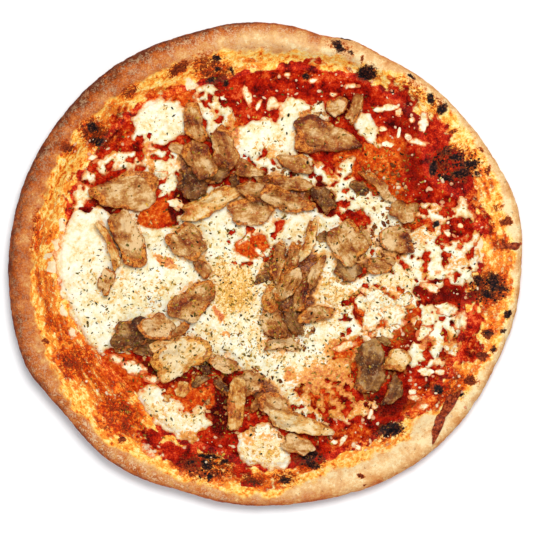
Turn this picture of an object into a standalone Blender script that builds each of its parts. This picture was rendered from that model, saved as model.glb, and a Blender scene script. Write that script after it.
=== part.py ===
"""Chicken kebab pizza: a puffed dough, tomato sauce, melted cheese and slices of kebab chicken.

Real size in metres, +Z up.  The underside is flat on Z = 0 and the pizza's box is centred on the
origin.  Places across the pizza are read in the pixels of a straight-down view, x to the right
and y down, and VIEW_PIXEL turns them into metres.  Heights and thicknesses are in millimetres.
"""

import math
from collections import namedtuple

import bmesh
import bpy
import numpy as np
from mathutils import Vector, noise
from mathutils.bvhtree import BVHTree

# ---------------------------------------------------------------- driving dimensions
MM = 0.001
PIZZA_LENGTH = 300 * MM
VIEW_LENGTH = 515.5
VIEW_PIXEL = PIZZA_LENGTH / VIEW_LENGTH
VIEW_CENTRE = (265.0, 264.5)

BASE_THICKNESS = 4.5 * MM
SAUCE_THICKNESS = 1.1 * MM
CHEESE_THICKNESS = 2.0 * MM
LAYER_GAP = 0.4 * MM

CRUST_SEGMENTS = 100
SAUCE_STEP = 8.8 * MM
CHEESE_STEP = 7.1 * MM
DRAPE_SAMPLE = 0.5 * MM
SHARP_ANGLE = math.radians(48)
# Brings the noise, which seldom passes 0.6 either way, to about -1 to 1.
NOISE_GAIN = 1.6
# Share of a lattice step within which a lattice point is moved onto the edge of a sheet.
SNAP_SHARE = 0.36
EDGE_HALVINGS = 14

# ---------------------------------------------------------------- the dough
# Outer edge of the rim, in view pixels from the centre, by angle from +X towards +Y.
OUTLINE_RADIUS = {
    0: 257.5, 8: 260, 14: 259.8, 24: 254, 37: 248.5, 50: 244.5, 61: 240.5, 67: 241.5,
    77: 237.5, 83: 240.5, 97: 243.7, 108: 243.5, 117: 246.5, 125: 249.2, 145: 252, 160: 254.8,
    172: 256, 184: 257.4, 192: 258.6, 205: 259.3, 212: 253, 218: 250.2, 227: 251.3, 240: 248,
    249: 242.3, 262: 242.5, 282: 242.6, 300: 248.6, 309: 250.9, 322: 252.3, 338: 252.8,
    347: 256,
}
# Where the inner slope of the rim meets the flat middle, in view pixels.
FOOT_RADIUS = {
    0: 212, 15: 214, 28: 188, 42: 208, 60: 212, 75: 205, 90: 198, 105: 192, 120: 198,
    135: 204, 150: 207, 165: 206, 180: 208, 195: 200, 210: 192, 225: 186, 240: 193, 255: 194,
    270: 203, 285: 203, 300: 205, 318: 210, 335: 213, 350: 204,
}
# Height of the rim's crest and how far it lies inside the outer edge, in millimetres.
CREST_HEIGHT = {0: 12.5, 45: 13, 75: 16.5, 105: 18.5, 135: 20, 165: 21, 200: 21, 225: 20,
                250: 17, 285: 15.5, 315: 14.5, 340: 13}
CREST_INSET = {0: 5.5, 45: 5.5, 75: 9, 105: 10, 135: 12, 165: 13, 200: 13, 225: 12,
               250: 9, 285: 8.5, 315: 8.5, 340: 6}

# The rim's outer side: share of the crest's inset, and share of the crest's height.
OUTER_SIDE = ((0.95, 0.0), (0.42, 0.05), (0.10, 0.24), (0.0, 0.48), (0.10, 0.74), (0.42, 0.93), (1.0, 1.0))
# The inner slope: share of the way from crest to foot.
INNER_SLOPE = (0.16, 0.34, 0.52, 0.70, 0.86, 1.0)
# Below 1 the inner slope bulges a little.
SLOPE_FULLNESS = 0.85
# The flat middle's rings, as shares of the foot's radius, on the top and on the underside.
FLAT_RINGS = (0.55,)

CRUST_RELIEF = 0.7 * MM
CRUST_RELIEF_WAVE = 17 * MM
# Relief starts above this height, and reaches its full size over this distance.
RELIEF_START = 2 * MM
RELIEF_FADE = 4 * MM

# Blisters that the oven raised on the rim: place, radius and height.
Blister = namedtuple("Blister", "x y radius height")
BLISTERS = (
    Blister(x=75, y=365, radius=22, height=3.0),
    Blister(x=122, y=415, radius=26, height=3.0),
    Blister(x=97, y=133, radius=19, height=2.6),
    Blister(x=455, y=163, radius=25, height=4.0),
    Blister(x=488, y=287, radius=18, height=4.5),
    Blister(x=208, y=467, radius=21, height=2.4),
    Blister(x=310, y=464, radius=16, height=2.2),
    Blister(x=222, y=68, radius=22, height=2.4),
    Blister(x=160, y=84, radius=24, height=1.8),
    Blister(x=391, y=430, radius=16, height=2.2),
    Blister(x=367, y=73, radius=13, height=2.4),
    Blister(x=338, y=48, radius=13, height=1.6),
    Blister(x=440, y=106, radius=13, height=1.6),
    Blister(x=60, y=240, radius=20, height=1.4),
    Blister(x=482, y=340, radius=15, height=1.8),
)

# ---------------------------------------------------------------- sauce and cheese
SAUCE_EDGE_MARGIN = 2.2 * MM
SAUCE_EDGE_THICKNESS = 0.6 * MM
SAUCE_EDGE_WIDTH = 8 * MM
SAUCE_RELIEF = 0.45 * MM
SAUCE_RELIEF_WAVE = 13 * MM
SAUCE_MOUNDS = (
    Blister(x=388, y=160, radius=44, height=1.9),
    Blister(x=330, y=90, radius=34, height=0.9),
    Blister(x=425, y=395, radius=34, height=1.0),
    Blister(x=350, y=438, radius=30, height=0.9),
    Blister(x=185, y=452, radius=26, height=0.7),
    Blister(x=110, y=140, radius=24, height=0.7),
)

# Ellipses in view pixels: centre, half length, half width, and turn in degrees.
Patch = namedtuple("Patch", "x y half_length half_width turn", defaults=(0,))
CHEESE_PATCHES = (
    Patch(x=113, y=283, half_length=74, half_width=58, turn=-62),
    Patch(x=190, y=300, half_length=78, half_width=66),
    Patch(x=160, y=238, half_length=52, half_width=34),
    Patch(x=92, y=232, half_length=30, half_width=26),
    Patch(x=250, y=300, half_length=66, half_width=72),
    Patch(x=325, y=318, half_length=56, half_width=58),
    Patch(x=292, y=364, half_length=62, half_width=30, turn=-12),
    Patch(x=286, y=402, half_length=42, half_width=17, turn=-32),
    Patch(x=262, y=148, half_length=38, half_width=30),
    Patch(x=297, y=110, half_length=27, half_width=13, turn=-8),
    Patch(x=285, y=134, half_length=24, half_width=13, turn=80),
    Patch(x=232, y=215, half_length=50, half_width=30),
    Patch(x=300, y=190, half_length=44, half_width=34),
    Patch(x=341, y=192, half_length=36, half_width=15, turn=80),
    Patch(x=370, y=213, half_length=38, half_width=21, turn=-8),
    Patch(x=309, y=236, half_length=32, half_width=27),
    Patch(x=368, y=247, half_length=46, half_width=26),
    Patch(x=432, y=250, half_length=46, half_width=24, turn=-8),
    Patch(x=400, y=283, half_length=44, half_width=28),
    Patch(x=455, y=268, half_length=24, half_width=16, turn=-20),
    Patch(x=474, y=214, half_length=22, half_width=14, turn=-55),
    Patch(x=476, y=245, half_length=20, half_width=13, turn=75),
    Patch(x=441, y=214, half_length=30, half_width=9, turn=-6),
    Patch(x=162, y=123, half_length=31, half_width=24, turn=12),
    Patch(x=166, y=164, half_length=26, half_width=19, turn=-30),
    Patch(x=212, y=112, half_length=30, half_width=19, turn=-62),
    Patch(x=124, y=161, half_length=34, half_width=11, turn=6),
    Patch(x=84, y=191, half_length=19, half_width=11, turn=70),
    Patch(x=171, y=414, half_length=40, half_width=29, turn=-18),
    Patch(x=264, y=450, half_length=28, half_width=25, turn=-30),
    Patch(x=344, y=407, half_length=30, half_width=14, turn=-12),
    Patch(x=444, y=326, half_length=37, half_width=21, turn=-14),
    Patch(x=431, y=350, half_length=24, half_width=15, turn=10),
    Patch(x=466, y=346, half_length=17, half_width=10, turn=80),
    Patch(x=368, y=127, half_length=19, half_width=9, turn=-65),
)
# Where sauce shows through the cheese.
CHEESE_GAPS = (
    Patch(x=156, y=214, half_length=22, half_width=13, turn=-10),
    Patch(x=252, y=247, half_length=15, half_width=12, turn=40),
    Patch(x=222, y=402, half_length=38, half_width=13, turn=84),
    Patch(x=192, y=397, half_length=21, half_width=13),
    Patch(x=357, y=220, half_length=14, half_width=9, turn=-20),
    Patch(x=324, y=199, half_length=17, half_width=11, turn=-60),
    Patch(x=440, y=296, half_length=32, half_width=10, turn=-12),
    Patch(x=453, y=231, half_length=14, half_width=10, turn=20),
    Patch(x=395, y=324, half_length=19, half_width=14, turn=-50),
    Patch(x=362, y=309, half_length=14, half_width=8, turn=-60),
    Patch(x=348, y=347, half_length=20, half_width=8, turn=20),
)
CHEESE_RIM_MARGIN = 1.5
CHEESE_OUTLINE_WOBBLE = 3.2
CHEESE_OUTLINE_WAVE = 22.0
CHEESE_EDGE_THICKNESS = 0.8 * MM
CHEESE_EDGE_WIDTH = 9.0
CHEESE_RELIEF = 0.65 * MM
CHEESE_RELIEF_WAVE = 12 * MM
SMALLEST_CHEESE_PIECE = 140 * MM * MM

# ---------------------------------------------------------------- chicken
# Centre, length and width in view pixels; thickness in millimetres; turn in degrees from +X
# towards +Y; taper narrows the far end; bend bows the slice sideways by that share of its
# width.  Pieces further down a list lie on those before them.
Slice = namedtuple("Slice", "x y length width thickness turn taper bend tone", defaults=(0.0, 0.0, "tan"))
CHICKEN = (
    # the left group
    Slice(x=128, y=238, length=58, width=28, thickness=4.2, turn=104, taper=0.15),
    Slice(x=110, y=246, length=50, width=10, thickness=4.6, turn=113, bend=0.5, tone="pale"),
    Slice(x=124, y=191, length=67, width=37, thickness=4.6, turn=10, taper=-0.25),
    Slice(x=107, y=280, length=24, width=15, thickness=3.4, turn=70),
    # the upper left group
    Slice(x=194, y=122, length=40, width=18, thickness=3.8, turn=105, taper=0.2),
    Slice(x=192, y=184, length=33, width=29, thickness=3.6, turn=20, tone="dark"),
    Slice(x=224, y=148, length=40, width=25, thickness=3.8, turn=108, taper=0.15),
    Slice(x=217, y=175, length=26, width=16, thickness=3.2, turn=20, tone="dark"),
    Slice(x=201, y=158, length=40, width=27, thickness=4.4, turn=118, taper=0.1),
    Slice(x=212, y=202, length=61, width=20, thickness=5.0, turn=25, taper=0.1, bend=0.1, tone="pale"),
    # the upper middle group
    Slice(x=252, y=213, length=45, width=25, thickness=3.6, turn=4, taper=0.1),
    Slice(x=256, y=190, length=36, width=20, thickness=3.8, turn=-8),
    Slice(x=250, y=171, length=30, width=12, thickness=3.4, turn=-10, taper=0.3),
    Slice(x=291, y=184, length=41, width=13, thickness=4.2, turn=-8),
    Slice(x=286, y=201, length=53, width=21, thickness=4.2, turn=-22, taper=0.1, bend=0.15),
    Slice(x=294, y=163, length=36, width=17, thickness=3.6, turn=-6, taper=-0.1),
    Slice(x=328, y=137, length=67, width=30, thickness=5.0, turn=-9, taper=0.35, tone="pale"),
    Slice(x=336, y=108, length=20, width=17, thickness=4.4, turn=10),
    Slice(x=355, y=110, length=30, width=12, thickness=3.8, turn=72),
    Slice(x=323, y=199, length=29, width=17, thickness=2.6, turn=-58, tone="dark"),
    # the right-hand group
    Slice(x=379, y=187, length=46, width=10, thickness=3.8, turn=-46, bend=-0.2),
    Slice(x=404, y=211, length=28, width=21, thickness=3.6, turn=0, tone="dark"),
    Slice(x=349, y=270, length=28, width=21, thickness=3.2, turn=-40, tone="dark"),
    Slice(x=347, y=243, length=43, width=35, thickness=4.4, turn=-62, taper=0.1),
    Slice(x=396, y=241, length=34, width=24, thickness=3.2, turn=-28),
    Slice(x=379, y=266, length=28, width=15, thickness=3.4, turn=-8),
    # the middle cluster
    Slice(x=293, y=321, length=30, width=15, thickness=3.0, turn=-70, tone="dark"),
    Slice(x=303, y=292, length=40, width=15, thickness=3.6, turn=72, tone="dark"),
    Slice(x=316, y=272, length=38, width=11, thickness=3.4, turn=66),
    Slice(x=278, y=262, length=38, width=13, thickness=3.8, turn=80, tone="dark"),
    Slice(x=292, y=258, length=32, width=16, thickness=3.8, turn=72, tone="dark"),
    Slice(x=275, y=325, length=32, width=22, thickness=4.0, turn=-62),
    Slice(x=271, y=298, length=25, width=17, thickness=3.8, turn=70, tone="pale"),
    Slice(x=288, y=285, length=36, width=19, thickness=4.0, turn=60),
    Slice(x=316, y=313, length=36, width=17, thickness=3.8, turn=2, taper=0.45),
    Slice(x=309, y=239, length=43, width=12, thickness=4.8, turn=72, bend=0.45, tone="pale"),
    Slice(x=283, y=345, length=35, width=11, thickness=3.6, turn=-5, bend=-0.4),
    # the lower left group
    Slice(x=131, y=335, length=38, width=30, thickness=3.6, turn=30, tone="dark"),
    Slice(x=157, y=327, length=35, width=24, thickness=4.2, turn=-14),
    Slice(x=163, y=347, length=25, width=14, thickness=3.4, turn=10, tone="pale"),
    Slice(x=180, y=356, length=55, width=36, thickness=5.0, turn=40, taper=-0.1, tone="pale"),
    Slice(x=193, y=301, length=49, width=31, thickness=4.2, turn=52, taper=0.1),
    Slice(x=203, y=268, length=24, width=13, thickness=3.0, turn=-58),
    Slice(x=188, y=243, length=39, width=33, thickness=4.2, turn=-36),
    # the bottom group
    Slice(x=222, y=363, length=32, width=14, thickness=3.4, turn=-18),
    Slice(x=250, y=382, length=29, width=23, thickness=4.0, turn=10),
    Slice(x=236, y=404, length=54, width=18, thickness=4.4, turn=84, tone="pale"),
    Slice(x=276, y=407, length=38, width=25, thickness=4.0, turn=-38),
    Slice(x=297, y=445, length=33, width=20, thickness=4.0, turn=-12),
    Slice(x=299, y=424, length=64, width=18, thickness=4.4, turn=-15, taper=0.3),
    # the lower right group
    Slice(x=371, y=366, length=49, width=31, thickness=4.8, turn=76, taper=0.1, tone="dark"),
    Slice(x=397, y=361, length=24, width=19, thickness=3.8, turn=0, tone="pale"),
    Slice(x=394, y=389, length=32, width=15, thickness=4.0, turn=76, bend=0.3, tone="dark"),
)
SLICE_SQUARENESS = 2.8
SLICE_WOBBLE = 0.22
SLICE_WOBBLE_WAVE = 0.9
SLICE_RELIEF = 0.22
SLICE_RELIEF_WAVE = 9 * MM
# A bent slice keeps its middle in place when its ends move over by more than its belly.
BEND_BALANCE = 0.4
SLICE_POINT_SPACING = 6.0 * MM
FEWEST_SLICE_POINTS = 8
MOST_SLICE_POINTS = 12
# Rings of a slice: share of the outline, and share of the thickness.
SLICE_BELLY = 0.5
SLICE_RINGS = ((0.5, 0.0), (0.93, 0.0), (1.0, 0.36), (0.95, 0.80), (0.66, 1.0))

# A dried, burnt strip that lies on the rim at the lower right.
BURNT_STRIP = Slice(x=444, y=415, length=54, width=11, thickness=1.6, turn=63, bend=-0.2)
BURNT_SEED = 200.0
# Steps the wobble of each slice's outline along the noise, so that no two are alike.
SLICE_SEED_STEP = 3.7

# ---------------------------------------------------------------- herb flakes
FLAKE_SEED = 11
FLAKE_COUNT = 42
FLAKE_LENGTH = (1.9 * MM, 3.0 * MM)
FLAKE_WIDTH_SHARE = (0.45, 0.7)
FLAKE_THICKNESS = 0.7 * MM
FLAKE_SIDES = 5
FLAKE_CLEARANCE = 2.0 * MM
CLEARANCE_PROBES = 8
FLAKE_INSIDE = 5.0
FLAKE_FIELD = Patch(x=205, y=300, half_length=160, half_width=125)

# ---------------------------------------------------------------- finishes: colour, roughness
FINISHES = {
    "crust": ((0.62, 0.38, 0.19, 1), 0.75),
    "sauce": ((0.55, 0.05, 0.02, 1), 0.35),
    "cheese": ((0.90, 0.80, 0.58, 1), 0.40),
    "chicken_tan": ((0.50, 0.27, 0.11, 1), 0.45),
    "chicken_pale": ((0.72, 0.47, 0.24, 1), 0.45),
    "chicken_dark": ((0.28, 0.13, 0.05, 1), 0.50),
    "burnt": ((0.10, 0.02, 0.01, 1), 0.60),
}


# ---------------------------------------------------------------- plan geometry
def place(x, y):
    """Metres from the pizza's centre of a place in the view."""
    return ((x - VIEW_CENTRE[0]) * VIEW_PIXEL, (VIEW_CENTRE[1] - y) * VIEW_PIXEL)


def view_place(x, y):
    """The place in the view of a point in metres: the other way round."""
    return (x / VIEW_PIXEL + VIEW_CENTRE[0], VIEW_CENTRE[1] - y / VIEW_PIXEL)


def turned(along, across, angle):
    """The plan vector with these two parts, turned from +X towards +Y by an angle in radians."""
    c, s = math.cos(angle), math.sin(angle)
    return Vector((along * c - across * s, along * s + across * c))


def round_curve(stations):
    """A smooth function of the angle in degrees, through stations all round the circle."""
    angles = np.array(sorted(stations), dtype=float)
    values = np.array([stations[angle] for angle in sorted(stations)], dtype=float)
    turns = np.concatenate((angles[-2:] - 360, angles, angles[:2] + 360))
    heights = np.concatenate((values[-2:], values, values[:2]))
    slopes = np.gradient(heights, turns)

    def value(angle):
        angle = angle % 360
        after = int(np.searchsorted(turns, angle, side="right"))
        before = after - 1
        span = turns[after] - turns[before]
        t = (angle - turns[before]) / span
        start = heights[before] * (1 + 2 * t) * (1 - t) ** 2 + slopes[before] * span * t * (1 - t) ** 2
        end = heights[after] * (3 - 2 * t) * t ** 2 + slopes[after] * span * (t - 1) * t ** 2
        return start + end

    return value


outline_radius = round_curve(OUTLINE_RADIUS)
foot_radius = round_curve(FOOT_RADIUS)
crest_height = round_curve(CREST_HEIGHT)
crest_inset = round_curve(CREST_INSET)


def smooth_step(t):
    t = min(max(t, 0.0), 1.0)
    return t * t * (3 - 2 * t)


def relief(x, y, wave, layer=0.0):
    """Gentle unevenness between about -1 and 1, with bumps of about the given width."""
    return NOISE_GAIN * noise.noise(Vector((x / wave, y / wave, layer)))


def dome(x, y, bumps):
    """Height of the highest blister or mound at a point in metres."""
    height = 0.0
    for bump in bumps:
        centre_x, centre_y = place(bump.x, bump.y)
        share = math.hypot(x - centre_x, y - centre_y) / (bump.radius * VIEW_PIXEL)
        if share < 1:
            height = max(height, bump.height * MM * (1 - share ** 2) ** 2)
    return height


# ---------------------------------------------------------------- mesh helpers
def clear_scene():
    for thing in list(bpy.data.objects):
        bpy.data.objects.remove(thing, do_unlink=True)


def finish_material(name):
    """A plain material in the finish's colour."""
    colour, roughness = FINISHES[name]
    material = bpy.data.materials.new(name)
    material.use_nodes = True
    shader = material.node_tree.nodes["Principled BSDF"]
    shader.inputs["Base Color"].default_value = colour
    shader.inputs["Roughness"].default_value = roughness
    shader.inputs["Metallic"].default_value = 0.0
    return material


def add_object(name, points, faces, material, origin=(0, 0, 0)):
    """One closed mesh object, with its own origin and its faces turned outwards."""
    shift = Vector(origin)
    mesh = bpy.data.meshes.new(name)
    mesh.from_pydata([Vector(point) - shift for point in points], [], faces)
    shape = bmesh.new()
    shape.from_mesh(mesh)
    bmesh.ops.recalc_face_normals(shape, faces=shape.faces)
    shape.to_mesh(mesh)
    shape.free()
    mesh.shade_smooth()
    mesh.set_sharp_from_angle(angle=SHARP_ANGLE)
    mesh.materials.append(material)
    thing = bpy.data.objects.new(name, mesh)
    thing.location = shift
    bpy.context.collection.objects.link(thing)
    return thing


def stack_of_rings(rings, low_pole, high_pole):
    """Points and faces of a closed shell: rings of equal count between two poles."""
    count = len(rings[0])
    points = [point for ring in rings for point in ring]
    low = len(points)
    high = low + 1
    points += [low_pole, high_pole]
    last = (len(rings) - 1) * count
    faces = []
    for i in range(count):
        j = (i + 1) % count
        faces.append((low, j, i))
        faces.append((high, last + i, last + j))
        for ring in range(len(rings) - 1):
            here = ring * count
            above = here + count
            faces.append((here + i, here + j, above + j))
            faces.append((here + i, above + j, above + i))
    return points, faces


class Ground:
    """The upper surface of everything laid so far, for the next piece to rest on."""

    def __init__(self):
        self.points = []
        self.faces = []
        self.tree = None

    def add(self, points, faces):
        first = len(self.points)
        self.points += [Vector(point) for point in points]
        self.faces += [tuple(first + index for index in face) for face in faces]
        self.tree = BVHTree.FromPolygons(self.points, self.faces)

    def height(self, x, y):
        above = Vector((x, y, 1.0))
        hit = self.tree.ray_cast(above, Vector((0, 0, -1)))[0]
        return hit.z if hit else 0.0


def drape(plan, triangles, ground):
    """Lowest height of each plan point that keeps its triangles clear of the ground."""
    heights = [ground.height(x, y) + LAYER_GAP for x, y in plan]
    samples = []
    for triangle in triangles:
        a, b, c = (Vector(plan[index]) for index in triangle)
        steps = max(2, math.ceil(max((a - b).length, (b - c).length, (c - a).length) / DRAPE_SAMPLE))
        for i in range(steps + 1):
            for j in range(steps + 1 - i):
                weights = (i / steps, j / steps, 1 - (i + j) / steps)
                x, y = a * weights[0] + b * weights[1] + c * weights[2]
                samples.append((triangle, weights, ground.height(x, y) + LAYER_GAP))
    lifts = [0.0] * len(heights)
    for triangle, weights, needed in samples:
        reached = sum(heights[index] * weight for index, weight in zip(triangle, weights))
        for index in triangle:
            lifts[index] = max(lifts[index], needed - reached)
    return [height + lift for height, lift in zip(heights, lifts)]


# ---------------------------------------------------------------- dough
def crust_section(angle):
    """Distance from the centre and height of each ring of the crust, at one angle."""
    edge = outline_radius(angle) * VIEW_PIXEL
    foot = foot_radius(angle) * VIEW_PIXEL
    top = crest_height(angle) * MM
    inset = crest_inset(angle) * MM
    section = [(foot * share, 0.0) for share in reversed(FLAT_RINGS)]
    section += [(edge - inset * inward, top * upward) for inward, upward in OUTER_SIDE]
    crest = edge - inset
    for share in INNER_SLOPE:
        fall = (0.5 + 0.5 * math.cos(math.pi * share)) ** SLOPE_FULLNESS
        section.append((crest + (foot - crest) * share, BASE_THICKNESS + (top - BASE_THICKNESS) * fall))
    section += [(foot * share, BASE_THICKNESS) for share in FLAT_RINGS]
    return section


def crust_point(angle, radius, height):
    """A point of the crust, with blisters and unevenness above the flat parts."""
    x = radius * math.cos(math.radians(angle))
    y = radius * math.sin(math.radians(angle))
    foot = foot_radius(angle) * VIEW_PIXEL
    on_slope = smooth_step((radius - foot) / RELIEF_FADE) * smooth_step((height - RELIEF_START) / RELIEF_FADE)
    bumps = dome(x, y, BLISTERS) + CRUST_RELIEF * relief(x, y, CRUST_RELIEF_WAVE)
    return (x, y, height + on_slope * bumps)


def build_crust(ground):
    angles = [360 * step / CRUST_SEGMENTS for step in range(CRUST_SEGMENTS)]
    sections = [crust_section(angle) for angle in angles]
    rings = []
    for level in range(len(sections[0])):
        rings.append([crust_point(angle, *section[level]) for angle, section in zip(angles, sections)])
    points, faces = stack_of_rings(rings, (0, 0, 0), (0, 0, BASE_THICKNESS))
    ground.add(points, faces)
    return add_object("crust", points, faces, finish_material("crust"))


# ---------------------------------------------------------------- sheets cut from a lattice
def lattice(step, reach):
    """Points and triangles of an even triangular lattice over a square of half side reach."""
    rows = math.ceil(reach / (step * math.sqrt(0.75)))
    columns = math.ceil(reach / step) + 1
    width = 2 * columns + 1
    plan = []
    for row in range(-rows, rows + 1):
        shift = 0.5 * step if row % 2 else 0.0
        for column in range(-columns, columns + 1):
            plan.append((column * step + shift, row * step * math.sqrt(0.75)))
    triangles = []
    for row in range(2 * rows):
        odd = (row - rows) % 2
        for column in range(width - 1):
            here = row * width + column
            above = here + width
            if odd:
                triangles += [(here, here + 1, above + 1), (here, above + 1, above)]
            else:
                triangles += [(here, here + 1, above), (here + 1, above + 1, above)]
    return plan, triangles


def crossing(inside, outside, field):
    """The point between two others where the field is zero, by halving."""
    near, far = Vector(inside), Vector(outside)
    for _ in range(EDGE_HALVINGS):
        middle = (near + far) / 2
        if field(*middle) > 0:
            near = middle
        else:
            far = middle
    return (near + far) / 2


def cut_sheet(field, step, reach):
    """Plan points and triangles of the region where the field is positive.

    Lattice points close to the region's edge are moved onto it, so that no triangle is a
    sliver, and the rest of the edge is cut across the lattice.
    """
    plan, triangles = lattice(step, reach)
    plan = [Vector(point) for point in plan]
    values = [field(*point) for point in plan]
    edges = {tuple(sorted((t[i], t[i - 1]))) for t in triangles for i in range(3)}
    crossings = {}
    for a, b in sorted(edges):
        if (values[a] > 0) == (values[b] > 0):
            continue
        inside, outside = (a, b) if values[a] > 0 else (b, a)
        crossings[(inside, outside)] = crossing(plan[inside], plan[outside], field)
    nearest = {}
    for (inside, outside), point in crossings.items():
        for index in (inside, outside):
            distance = (point - plan[index]).length
            if distance < SNAP_SHARE * step and distance < nearest.get(index, (step,))[0]:
                nearest[index] = (distance, point)
    for index, (_, point) in nearest.items():
        plan[index] = point
        values[index] = 0.0
    cut_points = {}
    pieces = []
    for triangle in triangles:
        corners = []
        for i in range(3):
            a, b = triangle[i], triangle[(i + 1) % 3]
            if values[a] >= 0:
                corners.append(a)
            if values[a] * values[b] < 0:
                inside, outside = (a, b) if values[a] > 0 else (b, a)
                if (inside, outside) not in cut_points:
                    cut_points[(inside, outside)] = len(plan)
                    plan.append(crossings[(inside, outside)])
                corners.append(cut_points[(inside, outside)])
        if len(corners) >= 3 and any(values[index] > 0 for index in triangle):
            pieces += [(corners[0], corners[i], corners[i + 1]) for i in range(1, len(corners) - 1)]
    return plan, pieces


def boundary_edges(triangles):
    """Directed edges that only one triangle has."""
    directed = {(t[i], t[(i + 1) % 3]) for t in triangles for i in range(3)}
    return [(a, b) for a, b in sorted(directed) if (b, a) not in directed]


def without_pinches(triangles):
    """Drops the triangles round points where two stretches of the edge meet."""
    while True:
        starts = [a for a, _ in boundary_edges(triangles)]
        pinched = {a for a in starts if starts.count(a) > 1}
        if not pinched:
            return triangles
        triangles = [t for t in triangles if not pinched.intersection(t)]


def joined_pieces(triangles):
    """The triangles sorted into connected pieces, by shared edges."""
    by_edge = {}
    for number, triangle in enumerate(triangles):
        for i in range(3):
            by_edge.setdefault(frozenset((triangle[i], triangle[i - 1])), []).append(number)
    unseen = set(range(len(triangles)))
    pieces = []
    while unseen:
        front = [min(unseen)]
        unseen.discard(front[0])
        piece = []
        while front:
            number = front.pop()
            piece.append(triangles[number])
            triangle = triangles[number]
            for i in range(3):
                for other in by_edge[frozenset((triangle[i], triangle[i - 1]))]:
                    if other in unseen:
                        unseen.discard(other)
                        front.append(other)
        pieces.append(piece)
    return pieces


def plan_area(plan, triangles):
    total = 0.0
    for a, b, c in triangles:
        total += abs((plan[b] - plan[a]).cross(plan[c] - plan[a])) / 2
    return total


def sheet_faces(triangles, count):
    """Faces of a sheet: top triangles, the same below them, and the wall round the edge.

    The top's points come first and the underside's follow, count places later.
    """
    faces = list(triangles)
    faces += [(a + count, c + count, b + count) for a, b, c in triangles]
    for a, b in boundary_edges(triangles):
        faces.append((b, a, a + count))
        faces.append((b, a + count, b + count))
    return faces


def compact(plan, triangles):
    """Only the points that the triangles use, renumbered."""
    used = sorted({index for triangle in triangles for index in triangle})
    new_index = {old: new for new, old in enumerate(used)}
    return [plan[old] for old in used], [tuple(new_index[old] for old in t) for t in triangles]


# ---------------------------------------------------------------- sauce
def sauce_field(x, y):
    """Metres inside the edge of the sauce."""
    angle = math.degrees(math.atan2(y, x))
    return foot_radius(angle) * VIEW_PIXEL - SAUCE_EDGE_MARGIN - math.hypot(x, y)


def sauce_height(x, y):
    """Thickness of the sauce above its flat underside."""
    inside = smooth_step(sauce_field(x, y) / SAUCE_EDGE_WIDTH)
    uneven = SAUCE_RELIEF * relief(x, y, SAUCE_RELIEF_WAVE, layer=3.0)
    full = SAUCE_THICKNESS + uneven + dome(x, y, SAUCE_MOUNDS)
    return SAUCE_EDGE_THICKNESS + (full - SAUCE_EDGE_THICKNESS) * inside


def build_sauce(ground):
    plan, triangles = cut_sheet(sauce_field, SAUCE_STEP, PIZZA_LENGTH / 2)
    plan, triangles = compact(plan, triangles)
    bottom = BASE_THICKNESS + LAYER_GAP
    count = len(plan)
    rim = dict(boundary_edges(triangles))
    loop = [min(rim)]
    while rim[loop[-1]] != loop[0]:
        loop.append(rim[loop[-1]])
    points = [(x, y, bottom + sauce_height(x, y)) for x, y in plan]
    points += [(plan[index][0], plan[index][1], bottom) for index in loop]
    faces = list(triangles)
    for i, a in enumerate(loop):
        below = count + i
        next_below = count + (i + 1) % len(loop)
        b = rim[a]
        faces.append((b, a, below))
        faces.append((b, below, next_below))
    faces.append(tuple(count + i for i in reversed(range(len(loop)))))
    ground.add(points, faces)
    return add_object("sauce", points, faces, finish_material("sauce"))


# ---------------------------------------------------------------- cheese
def patch_field(view_x, view_y, patch):
    """View pixels inside the edge of an elliptical patch, roughly."""
    turn = math.radians(patch.turn)
    right = view_x - patch.x
    up = patch.y - view_y
    along = (right * math.cos(turn) + up * math.sin(turn)) / patch.half_length
    across = (up * math.cos(turn) - right * math.sin(turn)) / patch.half_width
    return (1 - math.hypot(along, across)) * min(patch.half_length, patch.half_width)


def cheese_field(x, y):
    """View pixels inside the edge of the cheese, at a point in metres."""
    view_x, view_y = view_place(x, y)
    covered = max(patch_field(view_x, view_y, patch) for patch in CHEESE_PATCHES)
    open_gap = max(patch_field(view_x, view_y, gap) for gap in CHEESE_GAPS)
    wobble = CHEESE_OUTLINE_WOBBLE * relief(view_x, view_y, CHEESE_OUTLINE_WAVE, layer=7.0)
    angle = math.degrees(math.atan2(y, x))
    to_rim = foot_radius(angle) - math.hypot(x, y) / VIEW_PIXEL + CHEESE_RIM_MARGIN
    return min(covered + wobble, wobble - open_gap, to_rim)


def cheese_thickness(x, y):
    inside = smooth_step(cheese_field(x, y) / CHEESE_EDGE_WIDTH)
    full = CHEESE_THICKNESS + CHEESE_RELIEF * relief(x, y, CHEESE_RELIEF_WAVE, layer=5.0)
    return CHEESE_EDGE_THICKNESS + (full - CHEESE_EDGE_THICKNESS) * inside


def build_cheese(ground):
    """The main sheet of cheese and its separate patches, largest first."""
    plan, triangles = cut_sheet(cheese_field, CHEESE_STEP, PIZZA_LENGTH / 2)
    pieces = joined_pieces(without_pinches(triangles))
    pieces = [piece for piece in pieces if plan_area(plan, piece) > SMALLEST_CHEESE_PIECE]
    pieces.sort(key=lambda piece: -plan_area(plan, piece))
    material = finish_material("cheese")
    shapes = []
    for piece in pieces:
        spots, faces = compact(plan, piece)
        low = drape(spots, faces, ground)
        tops = [(x, y, z + cheese_thickness(x, y)) for (x, y), z in zip(spots, low)]
        points = tops + [(x, y, z) for (x, y), z in zip(spots, low)]
        shapes.append((points, sheet_faces(faces, len(spots))))
    things = []
    for number, (points, faces) in enumerate(shapes):
        name = "cheese" if number == 0 else f"cheese_patch_{number}"
        things.append(add_object(name, points, faces, material))
        ground.add(points, faces)
    return things


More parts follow.
